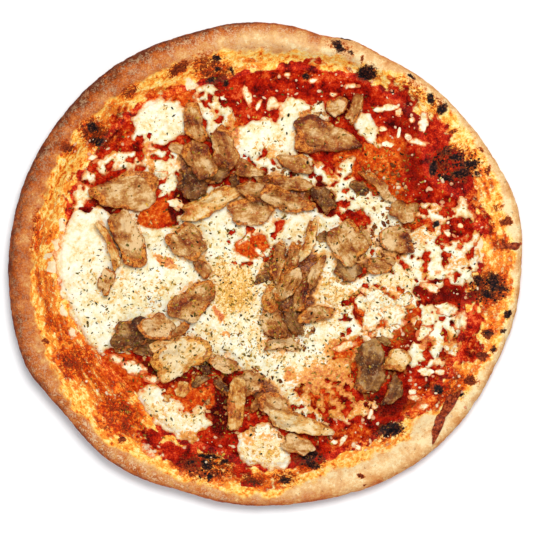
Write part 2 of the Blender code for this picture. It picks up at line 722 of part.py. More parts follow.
# ---------------------------------------------------------------- chicken
def slice_outline(piece, seed):
    """Plan points round a slice of meat, relative to its centre, in metres."""
    half_length = piece.length * VIEW_PIXEL / 2
    half_width = piece.width * VIEW_PIXEL / 2
    around = math.pi * (half_length + half_width)
    count = min(max(round(around / SLICE_POINT_SPACING), FEWEST_SLICE_POINTS), MOST_SLICE_POINTS)
    turn = math.radians(piece.turn)
    points = []
    for step in range(count):
        phase = 2 * math.pi * step / count
        c, s = math.cos(phase), math.sin(phase)
        round_out = (abs(c) ** SLICE_SQUARENESS + abs(s) ** SLICE_SQUARENESS) ** (-1 / SLICE_SQUARENESS)
        wobble = 1 + SLICE_WOBBLE * relief(c, s, SLICE_WOBBLE_WAVE, layer=seed)
        along = c * round_out * wobble
        across = s * round_out * wobble * (1 - piece.taper * along)
        across += 2 * piece.bend * (along ** 2 - BEND_BALANCE)
        points.append(turned(along * half_length, across * half_width, turn))
    return points


def slice_spine(piece):
    """The plan point that a slice's rings close on: its middle, moved by the bend."""
    sideways = -BEND_BALANCE * piece.bend * piece.width * VIEW_PIXEL
    return turned(0.0, sideways, math.radians(piece.turn))


def build_slice(name, piece, seed, ground, material):
    """A slice that lies over whatever is already under it."""
    centre = Vector(place(piece.x, piece.y))
    middle = centre + slice_spine(piece)
    outline = [centre + point for point in slice_outline(piece, seed)]
    count = len(outline)

    def ring(share):
        return [middle + (point - middle) * share for point in outline]

    plan = [middle] + ring(SLICE_BELLY) + ring(1.0)
    triangles = []
    for i in range(count):
        j = (i + 1) % count
        inner_i, inner_j = 1 + i, 1 + j
        outer_i, outer_j = 1 + count + i, 1 + count + j
        triangles += [(0, inner_i, inner_j), (inner_i, outer_i, outer_j), (inner_i, outer_j, inner_j)]
    low = drape(plan, triangles, ground)
    inner = low[1:1 + count]
    outer = low[1 + count:]
    thickness = piece.thickness * MM
    rings = []
    for share, rise in SLICE_RINGS:
        blend = max(share - SLICE_BELLY, 0.0) / (1 - SLICE_BELLY)
        level = []
        for i, point in enumerate(ring(share)):
            base = inner[i] * (1 - blend) + outer[i] * blend
            uneven = 1 + SLICE_RELIEF * relief(point.x, point.y, SLICE_RELIEF_WAVE, layer=seed)
            level.append((point.x, point.y, base + thickness * rise * uneven))
        rings.append(level)
    low_pole = (middle.x, middle.y, low[0])
    high_pole = (middle.x, middle.y, max(low[0], sum(inner) / count) + thickness)
    points, faces = stack_of_rings(rings, low_pole, high_pole)
    ground.add(points, faces)
    return add_object(name, points, faces, material, origin=(centre.x, centre.y, low[0]))


def build_chicken(ground):
    materials = {tone: finish_material("chicken_" + tone) for tone in ("tan", "pale", "dark")}
    things = []
    for number, piece in enumerate(CHICKEN, start=1):
        name = f"chicken_{number:02d}"
        things.append(build_slice(name, piece, number * SLICE_SEED_STEP, ground, materials[piece.tone]))
    return things


def build_burnt_strip(ground):
    return build_slice("burnt_strip", BURNT_STRIP, BURNT_SEED, ground, finish_material("burnt"))


# ---------------------------------------------------------------- herb flakes
def clear_of(trees, x, y):
    """Whether no tree lies over or near a place in plan."""
    down = Vector((0, 0, -1))
    probes = [(0.0, 0.0)]
    for step in range(CLEARANCE_PROBES):
        phase = 2 * math.pi * step / CLEARANCE_PROBES
        probes.append((FLAKE_CLEARANCE * math.cos(phase), FLAKE_CLEARANCE * math.sin(phase)))
    for right, away in probes:
        spot = Vector((x + right, y + away, 1.0))
        if any(tree.ray_cast(spot, down)[0] for tree in trees):
            return False
    return True


def flake_spots(cheese, covers, draws):
    """Seeded places on the main cheese sheet, clear of all that lies on it."""
    cheese_tree = world_tree(cheese)
    trees = [world_tree(cover) for cover in covers]
    low = (FLAKE_FIELD.x - FLAKE_FIELD.half_length, FLAKE_FIELD.y - FLAKE_FIELD.half_width)
    high = (FLAKE_FIELD.x + FLAKE_FIELD.half_length, FLAKE_FIELD.y + FLAKE_FIELD.half_width)
    spots = []
    while len(spots) < FLAKE_COUNT:
        x, y = place(*draws.uniform(low, high))
        in_field = patch_field(*view_place(x, y), FLAKE_FIELD) > 0
        hit = cheese_tree.ray_cast(Vector((x, y, 1.0)), Vector((0, 0, -1)))[0]
        if not in_field or not hit or cheese_field(x, y) < FLAKE_INSIDE or not clear_of(trees, x, y):
            continue
        if all((hit - other).length > 2 * FLAKE_LENGTH[1] for other in spots):
            spots.append(hit)
    return spots


def world_tree(thing):
    points = [thing.location + vertex.co for vertex in thing.data.vertices]
    return BVHTree.FromPolygons(points, [tuple(polygon.vertices) for polygon in thing.data.polygons])


def flake_mesh(length, turn, draws):
    """Points and faces of one dried leaf crumb, half sunk at its middle height."""
    width = length * draws.uniform(*FLAKE_WIDTH_SHARE)
    points = []
    for height in (-0.5 * FLAKE_THICKNESS, 0.5 * FLAKE_THICKNESS):
        for corner in range(FLAKE_SIDES):
            phase = 2 * math.pi * corner / FLAKE_SIDES
            spot = turned(0.5 * length * math.cos(phase), 0.5 * width * math.sin(phase), turn)
            points.append(Vector((spot.x, spot.y, height)))
    faces = [tuple(reversed(range(FLAKE_SIDES))), tuple(range(FLAKE_SIDES, 2 * FLAKE_SIDES))]
    for i in range(FLAKE_SIDES):
        j = (i + 1) % FLAKE_SIDES
        faces.append((i, j, j + FLAKE_SIDES, i + FLAKE_SIDES))
    return points, faces


def fuse_flakes(cheese, covers):
    """Joins the herb flakes to the cheese they lie on, with one union."""
    draws = np.random.default_rng(FLAKE_SEED)
    flakes = bpy.data.collections.new("herb_flakes")
    bpy.context.scene.collection.children.link(flakes)
    for spot in flake_spots(cheese, covers, draws):
        length = draws.uniform(*FLAKE_LENGTH)
        points, faces = flake_mesh(length, draws.uniform(0, math.pi), draws)
        flake = add_object("flake", [spot + point for point in points], faces, cheese.data.materials[0])
        bpy.context.collection.objects.unlink(flake)
        flakes.objects.link(flake)
    union = cheese.modifiers.new("flakes", "BOOLEAN")
    union.operation = "UNION"
    union.operand_type = "COLLECTION"
    union.collection = flakes
    union.solver = "EXACT"
    evaluated = cheese.evaluated_get(bpy.context.evaluated_depsgraph_get())
    fused = bpy.data.meshes.new_from_object(evaluated)
    cheese.modifiers.clear()
    cheese.data = fused
    fused.set_sharp_from_angle(angle=SHARP_ANGLE)
    for flake in list(flakes.objects):
        bpy.data.objects.remove(flake, do_unlink=True)
    bpy.data.collections.remove(flakes)


# ---------------------------------------------------------------- the whole pizza
def centre_on_origin(crust, things):
    """Parents every piece to one empty, which puts the crust's box over the origin."""
    corners = np.array([vertex.co for vertex in crust.data.vertices])
    middle = (corners.min(axis=0) + corners.max(axis=0)) / 2
    pizza = bpy.data.objects.new("pizza", None)
    bpy.context.collection.objects.link(pizza)
    pizza.location = (-middle[0], -middle[1], -corners[:, 2].min())
    for thing in things:
        thing.parent = pizza


def main():
    clear_scene()
    ground = Ground()
    crust = build_crust(ground)
    sauce = build_sauce(ground)
    cheese = build_cheese(ground)
    burnt_strip = build_burnt_strip(ground)
    chicken = build_chicken(ground)
    fuse_flakes(cheese[0], chicken)
    centre_on_origin(crust, [crust, sauce, burnt_strip] + cheese + chicken)
    bpy.context.view_layer.update()


main()
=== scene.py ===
"""The look of the chicken kebab pizza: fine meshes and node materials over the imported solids.

Real size in metres, +Z up.  Places across the pizza are read in the pixels of the straight-down
view, x to the right and y down, and VIEW_PIXEL turns them into metres from the dough's centre.
The fine meshes follow the same named sizes as the solids, so each stays where its solid is.
"""

import math
from collections import namedtuple
from functools import partial

import bmesh
import bpy
import numpy as np
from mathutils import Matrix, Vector, noise
from mathutils.bvhtree import BVHTree


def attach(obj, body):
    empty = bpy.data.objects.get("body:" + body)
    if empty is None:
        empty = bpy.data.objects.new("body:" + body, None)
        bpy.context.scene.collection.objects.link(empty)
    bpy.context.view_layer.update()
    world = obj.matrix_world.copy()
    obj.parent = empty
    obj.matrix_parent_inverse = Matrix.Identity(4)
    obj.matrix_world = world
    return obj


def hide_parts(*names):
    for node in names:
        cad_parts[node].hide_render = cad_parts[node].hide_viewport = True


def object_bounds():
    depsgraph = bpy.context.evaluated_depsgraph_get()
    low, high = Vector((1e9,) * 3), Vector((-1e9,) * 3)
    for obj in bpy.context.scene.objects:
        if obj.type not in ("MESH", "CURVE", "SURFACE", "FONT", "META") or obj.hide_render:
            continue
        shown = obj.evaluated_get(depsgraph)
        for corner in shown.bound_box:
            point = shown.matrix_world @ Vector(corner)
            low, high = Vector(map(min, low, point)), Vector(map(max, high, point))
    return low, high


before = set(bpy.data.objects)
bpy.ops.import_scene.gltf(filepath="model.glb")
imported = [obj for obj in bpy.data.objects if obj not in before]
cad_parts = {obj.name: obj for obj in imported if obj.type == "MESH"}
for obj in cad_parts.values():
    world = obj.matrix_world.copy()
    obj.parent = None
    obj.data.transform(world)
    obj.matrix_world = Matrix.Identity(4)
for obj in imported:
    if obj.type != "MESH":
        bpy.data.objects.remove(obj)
CAD_BOX = [list(corner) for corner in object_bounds()]

# ---------------------------------------------------------------- sizes shared with the solids
MM = 0.001
PIZZA_LENGTH = 300 * MM
VIEW_LENGTH = 515.5
VIEW_PIXEL = PIZZA_LENGTH / VIEW_LENGTH
VIEW_CENTRE = (265.0, 264.5)
VIEW_SIZE = 533

BASE_THICKNESS = 4.5 * MM
SAUCE_THICKNESS = 1.1 * MM
CHEESE_THICKNESS = 2.0 * MM
LAYER_GAP = 0.4 * MM
SOLID_SEGMENTS = 100
NOISE_GAIN = 1.6

# Outer edge of the rim, in view pixels from the centre, by angle from +X towards +Y.
OUTLINE_RADIUS = {
    0: 257.5, 8: 260, 14: 259.8, 24: 254, 37: 248.5, 50: 244.5, 61: 240.5, 67: 241.5,
    77: 237.5, 83: 240.5, 97: 243.7, 108: 243.5, 117: 246.5, 125: 249.2, 145: 252, 160: 254.8,
    172: 256, 184: 257.4, 192: 258.6, 205: 259.3, 212: 253, 218: 250.2, 227: 251.3, 240: 248,
    249: 242.3, 262: 242.5, 282: 242.6, 300: 248.6, 309: 250.9, 322: 252.3, 338: 252.8,
    347: 256,
}
# Where the inner slope of the rim meets the flat middle, in view pixels.
FOOT_RADIUS = {
    0: 212, 15: 214, 28: 188, 42: 208, 60: 212, 75: 205, 90: 198, 105: 192, 120: 198,
    135: 204, 150: 207, 165: 206, 180: 208, 195: 200, 210: 192, 225: 186, 240: 193, 255: 194,
    270: 203, 285: 203, 300: 205, 318: 210, 335: 213, 350: 204,
}
# Height of the rim's crest and how far it lies inside the outer edge, in millimetres.
CREST_HEIGHT = {0: 12.5, 45: 13, 75: 16.5, 105: 18.5, 135: 20, 165: 21, 200: 21, 225: 20,
                250: 17, 285: 15.5, 315: 14.5, 340: 13}
CREST_INSET = {0: 5.5, 45: 5.5, 75: 9, 105: 10, 135: 12, 165: 13, 200: 13, 225: 12,
               250: 9, 285: 8.5, 315: 8.5, 340: 6}
# The rim's outer side: share of the crest's inset, and share of the crest's height.
OUTER_SIDE = ((0.95, 0.0), (0.42, 0.05), (0.10, 0.24), (0.0, 0.48), (0.10, 0.74), (0.42, 0.93), (1.0, 1.0))
SLOPE_FULLNESS = 0.85
CRUST_RELIEF = 0.7 * MM
CRUST_RELIEF_WAVE = 17 * MM
RELIEF_START = 2 * MM
RELIEF_FADE = 4 * MM

Blister = namedtuple("Blister", "x y radius height")
BLISTERS = (
    Blister(x=75, y=365, radius=22, height=3.0),
    Blister(x=122, y=415, radius=26, height=3.0),
    Blister(x=97, y=133, radius=19, height=2.6),
    Blister(x=455, y=163, radius=25, height=4.0),
    Blister(x=488, y=287, radius=18, height=4.5),
    Blister(x=208, y=467, radius=21, height=2.4),
    Blister(x=310, y=464, radius=16, height=2.2),
    Blister(x=222, y=68, radius=22, height=2.4),
    Blister(x=160, y=84, radius=24, height=1.8),
    Blister(x=391, y=430, radius=16, height=2.2),
    Blister(x=367, y=73, radius=13, height=2.4),
    Blister(x=338, y=48, radius=13, height=1.6),
    Blister(x=440, y=106, radius=13, height=1.6),
    Blister(x=60, y=240, radius=20, height=1.4),
    Blister(x=482, y=340, radius=15, height=1.8),
)

SAUCE_EDGE_MARGIN = 2.2 * MM
SAUCE_EDGE_THICKNESS = 0.6 * MM
SAUCE_EDGE_WIDTH = 8 * MM
SAUCE_RELIEF = 0.45 * MM
SAUCE_RELIEF_WAVE = 13 * MM
SAUCE_MOUNDS = (
    Blister(x=388, y=160, radius=44, height=1.9),
    Blister(x=330, y=90, radius=34, height=0.9),
    Blister(x=425, y=395, radius=34, height=1.0),
    Blister(x=350, y=438, radius=30, height=0.9),
    Blister(x=185, y=452, radius=26, height=0.7),
    Blister(x=110, y=140, radius=24, height=0.7),
)

# Ellipses in view pixels: centre, half length, half width, and turn in degrees.
Patch = namedtuple("Patch", "x y half_length half_width turn", defaults=(0,))
CHEESE_PATCHES = (
    Patch(x=113, y=283, half_length=74, half_width=58, turn=-62),
    Patch(x=190, y=300, half_length=78, half_width=66),
    Patch(x=160, y=238, half_length=52, half_width=34),
    Patch(x=92, y=232, half_length=30, half_width=26),
    Patch(x=250, y=300, half_length=66, half_width=72),
    Patch(x=325, y=318, half_length=56, half_width=58),
    Patch(x=292, y=364, half_length=62, half_width=30, turn=-12),
    Patch(x=286, y=402, half_length=42, half_width=17, turn=-32),
    Patch(x=262, y=148, half_length=38, half_width=30),
    Patch(x=297, y=110, half_length=27, half_width=13, turn=-8),
    Patch(x=285, y=134, half_length=24, half_width=13, turn=80),
    Patch(x=232, y=215, half_length=50, half_width=30),
    Patch(x=300, y=190, half_length=44, half_width=34),
    Patch(x=341, y=192, half_length=36, half_width=15, turn=80),
    Patch(x=370, y=213, half_length=38, half_width=21, turn=-8),
    Patch(x=309, y=236, half_length=32, half_width=27),
    Patch(x=368, y=247, half_length=46, half_width=26),
    Patch(x=432, y=250, half_length=46, half_width=24, turn=-8),
    Patch(x=400, y=283, half_length=44, half_width=28),
    Patch(x=455, y=268, half_length=24, half_width=16, turn=-20),
    Patch(x=474, y=214, half_length=22, half_width=14, turn=-55),
    Patch(x=476, y=245, half_length=20, half_width=13, turn=75),
    Patch(x=441, y=214, half_length=30, half_width=9, turn=-6),
    Patch(x=162, y=123, half_length=31, half_width=24, turn=12),
    Patch(x=166, y=164, half_length=26, half_width=19, turn=-30),
    Patch(x=212, y=112, half_length=30, half_width=19, turn=-62),
    Patch(x=124, y=161, half_length=34, half_width=11, turn=6),
    Patch(x=84, y=191, half_length=19, half_width=11, turn=70),
    Patch(x=171, y=414, half_length=40, half_width=29, turn=-18),
    Patch(x=264, y=450, half_length=28, half_width=25, turn=-30),
    Patch(x=344, y=407, half_length=30, half_width=14, turn=-12),
    Patch(x=444, y=326, half_length=37, half_width=21, turn=-14),
    Patch(x=431, y=350, half_length=24, half_width=15, turn=10),
    Patch(x=466, y=346, half_length=17, half_width=10, turn=80),
    Patch(x=368, y=127, half_length=19, half_width=9, turn=-65),
)
CHEESE_GAPS = (
    Patch(x=156, y=214, half_length=22, half_width=13, turn=-10),
    Patch(x=252, y=247, half_length=15, half_width=12, turn=40),
    Patch(x=222, y=402, half_length=38, half_width=13, turn=84),
    Patch(x=192, y=397, half_length=21, half_width=13),
    Patch(x=357, y=220, half_length=14, half_width=9, turn=-20),
    Patch(x=324, y=199, half_length=17, half_width=11, turn=-60),
    Patch(x=440, y=296, half_length=32, half_width=10, turn=-12),
    Patch(x=453, y=231, half_length=14, half_width=10, turn=20),
    Patch(x=395, y=324, half_length=19, half_width=14, turn=-50),
    Patch(x=362, y=309, half_length=14, half_width=8, turn=-60),
    Patch(x=348, y=347, half_length=20, half_width=8, turn=20),
)
CHEESE_RIM_MARGIN = 1.5
CHEESE_CAP = 7.0
CHEESE_RAGGED = 3.4
CHEESE_HOLE = 9.0
HOLE_LEVEL = 0.42
CRUMB_CELL = 8.0
CHEESE_OUTLINE_WOBBLE = 3.2
CHEESE_OUTLINE_WAVE = 22.0
CHEESE_EDGE_THICKNESS = 0.8 * MM
CHEESE_EDGE_WIDTH = 9.0
CHEESE_RELIEF = 0.65 * MM
CHEESE_RELIEF_WAVE = 12 * MM

# Centre, length and width in view pixels; thickness in millimetres; turn in degrees from +X
# towards +Y; taper narrows the far end; bend bows the slice sideways by that share of its width.
Slice = namedtuple("Slice", "x y length width thickness turn taper bend tone", defaults=(0.0, 0.0, "tan"))
CHICKEN = (
    # the left group
    Slice(x=128, y=238, length=58, width=28, thickness=4.2, turn=104, taper=0.15),
    Slice(x=110, y=246, length=50, width=10, thickness=4.6, turn=113, bend=0.5, tone="pale"),
    Slice(x=124, y=191, length=67, width=37, thickness=4.6, turn=10, taper=-0.25),
    Slice(x=107, y=280, length=24, width=15, thickness=3.4, turn=70),
    # the upper left group
    Slice(x=194, y=122, length=40, width=18, thickness=3.8, turn=105, taper=0.2),
    Slice(x=192, y=184, length=33, width=29, thickness=3.6, turn=20, tone="dark"),
    Slice(x=224, y=148, length=40, width=25, thickness=3.8, turn=108, taper=0.15),
    Slice(x=217, y=175, length=26, width=16, thickness=3.2, turn=20, tone="dark"),
    Slice(x=201, y=158, length=40, width=27, thickness=4.4, turn=118, taper=0.1),
    Slice(x=212, y=202, length=61, width=20, thickness=5.0, turn=25, taper=0.1, bend=0.1, tone="pale"),
    # the upper middle group
    Slice(x=252, y=213, length=45, width=25, thickness=3.6, turn=4, taper=0.1),
    Slice(x=256, y=190, length=36, width=20, thickness=3.8, turn=-8),
    Slice(x=250, y=171, length=30, width=12, thickness=3.4, turn=-10, taper=0.3),
    Slice(x=291, y=184, length=41, width=13, thickness=4.2, turn=-8),
    Slice(x=286, y=201, length=53, width=21, thickness=4.2, turn=-22, taper=0.1, bend=0.15),
    Slice(x=294, y=163, length=36, width=17, thickness=3.6, turn=-6, taper=-0.1),
    Slice(x=328, y=137, length=67, width=30, thickness=5.0, turn=-9, taper=0.35, tone="pale"),
    Slice(x=336, y=108, length=20, width=17, thickness=4.4, turn=10),
    Slice(x=355, y=110, length=30, width=12, thickness=3.8, turn=72),
    Slice(x=323, y=199, length=29, width=17, thickness=2.6, turn=-58, tone="dark"),
    # the right-hand group
    Slice(x=379, y=187, length=46, width=10, thickness=3.8, turn=-46, bend=-0.2),
    Slice(x=404, y=211, length=28, width=21, thickness=3.6, turn=0, tone="dark"),
    Slice(x=349, y=270, length=28, width=21, thickness=3.2, turn=-40, tone="dark"),
    Slice(x=347, y=243, length=43, width=35, thickness=4.4, turn=-62, taper=0.1),
    Slice(x=396, y=241, length=34, width=24, thickness=3.2, turn=-28),
    Slice(x=379, y=266, length=28, width=15, thickness=3.4, turn=-8),
    # the middle cluster
    Slice(x=293, y=321, length=30, width=15, thickness=3.0, turn=-70, tone="dark"),
    Slice(x=303, y=292, length=40, width=15, thickness=3.6, turn=72, tone="dark"),
    Slice(x=316, y=272, length=38, width=11, thickness=3.4, turn=66),
    Slice(x=278, y=262, length=38, width=13, thickness=3.8, turn=80, tone="dark"),
    Slice(x=292, y=258, length=32, width=16, thickness=3.8, turn=72, tone="dark"),
    Slice(x=275, y=325, length=32, width=22, thickness=4.0, turn=-62),
    Slice(x=271, y=298, length=25, width=17, thickness=3.8, turn=70, tone="pale"),
    Slice(x=288, y=285, length=36, width=19, thickness=4.0, turn=60),
    Slice(x=316, y=313, length=36, width=17, thickness=3.8, turn=2, taper=0.45),
    Slice(x=309, y=239, length=43, width=12, thickness=4.8, turn=72, bend=0.45, tone="pale"),
    Slice(x=283, y=345, length=35, width=11, thickness=3.6, turn=-5, bend=-0.4),
    # the lower left group
    Slice(x=131, y=335, length=38, width=30, thickness=3.6, turn=30, tone="dark"),
    Slice(x=157, y=327, length=35, width=24, thickness=4.2, turn=-14),
    Slice(x=163, y=347, length=25, width=14, thickness=3.4, turn=10, tone="pale"),
    Slice(x=180, y=356, length=55, width=36, thickness=5.0, turn=40, taper=-0.1, tone="pale"),
    Slice(x=193, y=301, length=49, width=31, thickness=4.2, turn=52, taper=0.1),
    Slice(x=203, y=268, length=24, width=13, thickness=3.0, turn=-58),
    Slice(x=188, y=243, length=39, width=33, thickness=4.2, turn=-36),
    # the bottom group
    Slice(x=222, y=363, length=32, width=14, thickness=3.4, turn=-18),
    Slice(x=250, y=382, length=29, width=23, thickness=4.0, turn=10),
    Slice(x=236, y=404, length=54, width=18, thickness=4.4, turn=84, tone="pale"),
    Slice(x=276, y=407, length=38, width=25, thickness=4.0, turn=-38),
    Slice(x=297, y=445, length=33, width=20, thickness=4.0, turn=-12),
    Slice(x=299, y=424, length=64, width=18, thickness=4.4, turn=-15, taper=0.3),
    # the lower right group
    Slice(x=371, y=366, length=49, width=31, thickness=4.8, turn=76, taper=0.1, tone="dark"),
    Slice(x=397, y=361, length=24, width=19, thickness=3.8, turn=0, tone="pale"),
    Slice(x=394, y=389, length=32, width=15, thickness=4.0, turn=76, bend=0.3, tone="dark"),
)
SLICE_SQUARENESS = 2.8
SLICE_WOBBLE = 0.22
SLICE_WOBBLE_WAVE = 0.9
SLICE_RELIEF = 0.22
SLICE_RELIEF_WAVE = 9 * MM
BEND_BALANCE = 0.4
# Small pieces that only the look has.
SCRAPS = (
    Slice(x=182, y=150, length=24, width=11, thickness=2.4, turn=-28),
    Slice(x=248, y=166, length=28, width=8, thickness=2.4, turn=-25, tone="tan"),
    Slice(x=359, y=188, length=18, width=14, thickness=2.4, turn=10, tone="dark"),
    Slice(x=176, y=331, length=32, width=9, thickness=2.6, turn=28, bend=0.3),
    Slice(x=146, y=348, length=26, width=14, thickness=2.4, turn=-8, tone="dark"),
    Slice(x=181, y=389, length=17, width=12, thickness=2.2, turn=70, tone="pale"),
    Slice(x=199, y=381, length=20, width=9, thickness=2.2, turn=35, tone="dark"),
    Slice(x=205, y=368, length=16, width=10, thickness=2.2, turn=-60, tone="dark"),
    Slice(x=323, y=237, length=14, width=11, thickness=2.2, turn=0, tone="dark"),
    Slice(x=262, y=279, length=16, width=10, thickness=2.2, turn=20, tone="dark"),
    Slice(x=222, y=385, length=20, width=9, thickness=2.4, turn=-50, tone="dark"),
    Slice(x=258, y=402, length=20, width=11, thickness=2.4, turn=60),
    Slice(x=366, y=236, length=20, width=8, thickness=2.2, turn=-70),
    Slice(x=388, y=262, length=16, width=9, thickness=2.2, turn=10),
    Slice(x=384, y=340, length=14, width=8, thickness=2.2, turn=-20, tone="dark"),
    Slice(x=234, y=180, length=18, width=10, thickness=2.4, turn=-70, tone="dark"),
    Slice(x=262, y=178, length=18, width=10, thickness=2.4, turn=5),
    Slice(x=270, y=202, length=22, width=8, thickness=2.4, turn=-30),
    Slice(x=118, y=348, length=9, width=7, thickness=2.0, turn=0),
    Slice(x=167, y=398, length=8, width=8, thickness=1.8, turn=0, tone="pale"),
)
SCRAP_SEED = 400.0
BURNT_STRIP = Slice(x=443, y=415, length=54, width=10, thickness=1.6, turn=63, bend=-0.2)
BURNT_SEED = 200.0
BURNT_DRIP = Slice(x=511, y=246, length=20, width=9, thickness=0.9, turn=4)
SLICE_SEED_STEP = 3.7

# ---------------------------------------------------------------- fineness of the meshes
CRUST_SEGMENTS = 1000
OUTER_SIDE_RINGS = 30
INNER_SLOPE_RINGS = 44
FLAT_RING_SHARES = (0.97, 0.9, 0.75, 0.5, 0.25)
SAUCE_STEP = 0.92 * MM
CHEESE_STEP = 0.9 * MM
SAUCE_FEATHER = 3.5 * MM
SLICE_POINT_SPACING = 0.6 * MM
# Kept clear inside the solids' box, for the fine relief.
BOX_MARGIN = 0.05 * MM
OUTLINE_MARGIN = 0.35 * MM

# ---------------------------------------------------------------- where the dough's colours lie
# The rim's usual distance from the centre, and the length and width of the grain along it.
RIM_REACH = 235.0
RIM_GRAIN = (9.0, 3.4)
# View pixels from the centre: the outer edge of the oily golden zone on the rim, by angle.
GOLD_OUTER = {
    0: 250, 12: 246, 21: 246, 28: 244, 36: 242, 50: 235, 60: 228, 75: 217, 90: 213, 97: 215, 105: 217,
    120: 219, 135: 225, 150: 228, 165: 231, 180: 232, 195: 234, 203: 235, 215: 237, 226: 235, 237: 231,
    250: 230, 258: 228, 270: 230, 278: 224, 285: 219, 300: 218, 308: 223, 316: 222, 322: 231, 329: 240,
    342: 246, 355: 251,
}
# The inner edge of the golden zone, where sauce begins.
GOLD_INNER = {
    0: 212, 5: 218, 15: 222, 30: 228, 45: 215, 60: 215, 75: 208, 90: 200, 105: 195, 120: 205, 150: 208,
    165: 206, 180: 208, 195: 200, 210: 194, 225: 186, 240: 200, 255: 200, 270: 210, 285: 210,
    300: 210, 320: 215, 330: 220, 343: 220, 350: 206, 356: 207,
}
# How brown the rim's outer side is, and how floury its top, from 0 to 1.
TOASTED = {0: 0.2, 30: 0.18, 60: 0.36, 80: 0.64, 100: 0.97, 125: 1.3, 150: 1.08, 180: 0.97, 200: 0.93,
           215: 0.84, 230: 0.72, 245: 0.64, 265: 0.65, 290: 0.47, 330: 0.22}
# Whether the browning keeps to the very edge, 0, or covers the whole bare rim, 1.
BROWN_DEPTH = {0: 0.2, 60: 0.3, 90: 0.5, 115: 0.8, 135: 1.0, 180: 1.0, 210: 1.0, 230: 0.95, 250: 0.8,
               280: 0.55, 320: 0.2}
# How far the oily zone's colours are drawn out along the rim, from 0 to 1.
STREAKY = {0: 0.05, 40: 0.0, 80: 0.25, 110: 0.4, 140: 0.9, 180: 1.0, 220: 0.9, 250: 0.3, 300: 0.1, 330: 0.05}
FLOURY = {0: 0.0, 60: 0.4, 75: 0.9, 90: 1.4, 110: 1.2, 125: 0.8, 150: 0.7, 180: 0.45, 205: 0.9, 225: 1.8,
          250: 1.7, 280: 0.8, 310: 0.2}

# Soft spots of colour: ellipses in view pixels, and a strength from 0 to 1.
Spot = namedtuple("Spot", "x y half_length half_width turn strength", defaults=(0, 1.0))
CHAR_SPOTS = (
    Spot(x=93, y=128, half_length=5, half_width=5),
    Spot(x=98, y=141, half_length=7, half_width=4.5),
    Spot(x=338, y=47, half_length=7, half_width=4, turn=-50),
    Spot(x=350, y=53, half_length=4, half_width=2, turn=-35, strength=0.7),
    Spot(x=345, y=39, half_length=7, half_width=1.8, turn=-15, strength=0.8),
    Spot(x=367, y=73, half_length=9.5, half_width=7),
    Spot(x=411, y=77, half_length=5.5, half_width=1.6, turn=-35, strength=0.8),
    Spot(x=430, y=99, half_length=6, half_width=3, turn=-72),
    Spot(x=442, y=109, half_length=7.5, half_width=3.4, turn=50),
    Spot(x=393, y=92, half_length=3.2, half_width=2, turn=60, strength=0.8),
    Spot(x=306, y=76, half_length=4.4, half_width=3.2, strength=0.8),
    Spot(x=434, y=168, half_length=8, half_width=4, turn=82),
    Spot(x=447, y=150, half_length=9, half_width=4, turn=30, strength=0.6),
    Spot(x=456, y=158, half_length=8, half_width=3, turn=-10, strength=0.8),
    Spot(x=469, y=164, half_length=10, half_width=3.6, turn=8, strength=0.9),
    Spot(x=462, y=173, half_length=9, half_width=4, turn=10),
    Spot(x=445, y=177, half_length=10, half_width=3, turn=-12, strength=0.85),
    Spot(x=477, y=174, half_length=3, half_width=4, strength=0.7),
    Spot(x=493, y=283, half_length=10, half_width=5, turn=-80),
    Spot(x=478, y=281, half_length=7, half_width=4.4, turn=-72, strength=0.75),
    Spot(x=502, y=289, half_length=7, half_width=2.6, turn=-20, strength=0.8),
    Spot(x=487, y=294, half_length=8, half_width=4, turn=-30, strength=0.75),
    Spot(x=507, y=314, half_length=5, half_width=3.4, turn=60),
    Spot(x=502, y=331, half_length=4.4, half_width=2, turn=12, strength=0.8),
    Spot(x=488, y=333, half_length=4.2, half_width=3.6, strength=0.7),
    Spot(x=493, y=349, half_length=2.6, half_width=2.4, turn=50, strength=0.8),
    Spot(x=439, y=390, half_length=5.4, half_width=5),
    Spot(x=459, y=394, half_length=4, half_width=2.6, strength=0.9),
    Spot(x=427, y=386, half_length=2, half_width=1.6, strength=0.8),
    Spot(x=391, y=430, half_length=12, half_width=6.5, turn=12),
    Spot(x=207, y=465, half_length=7, half_width=5, turn=-60, strength=0.85),
    Spot(x=210, y=457, half_length=12, half_width=2, turn=-6, strength=0.9),
    Spot(x=223, y=462, half_length=6, half_width=2.6, turn=20, strength=0.8),
    Spot(x=210, y=476, half_length=4.4, half_width=3, turn=70, strength=0.8),
    Spot(x=193, y=461, half_length=5, half_width=2.2, turn=10, strength=0.7),
    Spot(x=310, y=456, half_length=10, half_width=4, turn=12, strength=0.9),
    Spot(x=312, y=465, half_length=8, half_width=3.4, turn=-20, strength=0.8),
    Spot(x=285, y=480, half_length=7, half_width=3.6, turn=10, strength=0.75),
    Spot(x=254, y=482, half_length=9, half_width=2.6, turn=-8, strength=0.6),
    Spot(x=217, y=59, half_length=4, half_width=3, strength=0.9),
    Spot(x=217, y=69, half_length=3, half_width=3, strength=0.8),
    Spot(x=232, y=70, half_length=4.4, half_width=2, turn=-55, strength=0.8),
    Spot(x=212, y=79, half_length=7, half_width=3.2, strength=0.8),
    Spot(x=225, y=83, half_length=4.4, half_width=3.2, turn=50, strength=0.9),
    Spot(x=437, y=224, half_length=3.8, half_width=3, turn=40, strength=0.9),
)
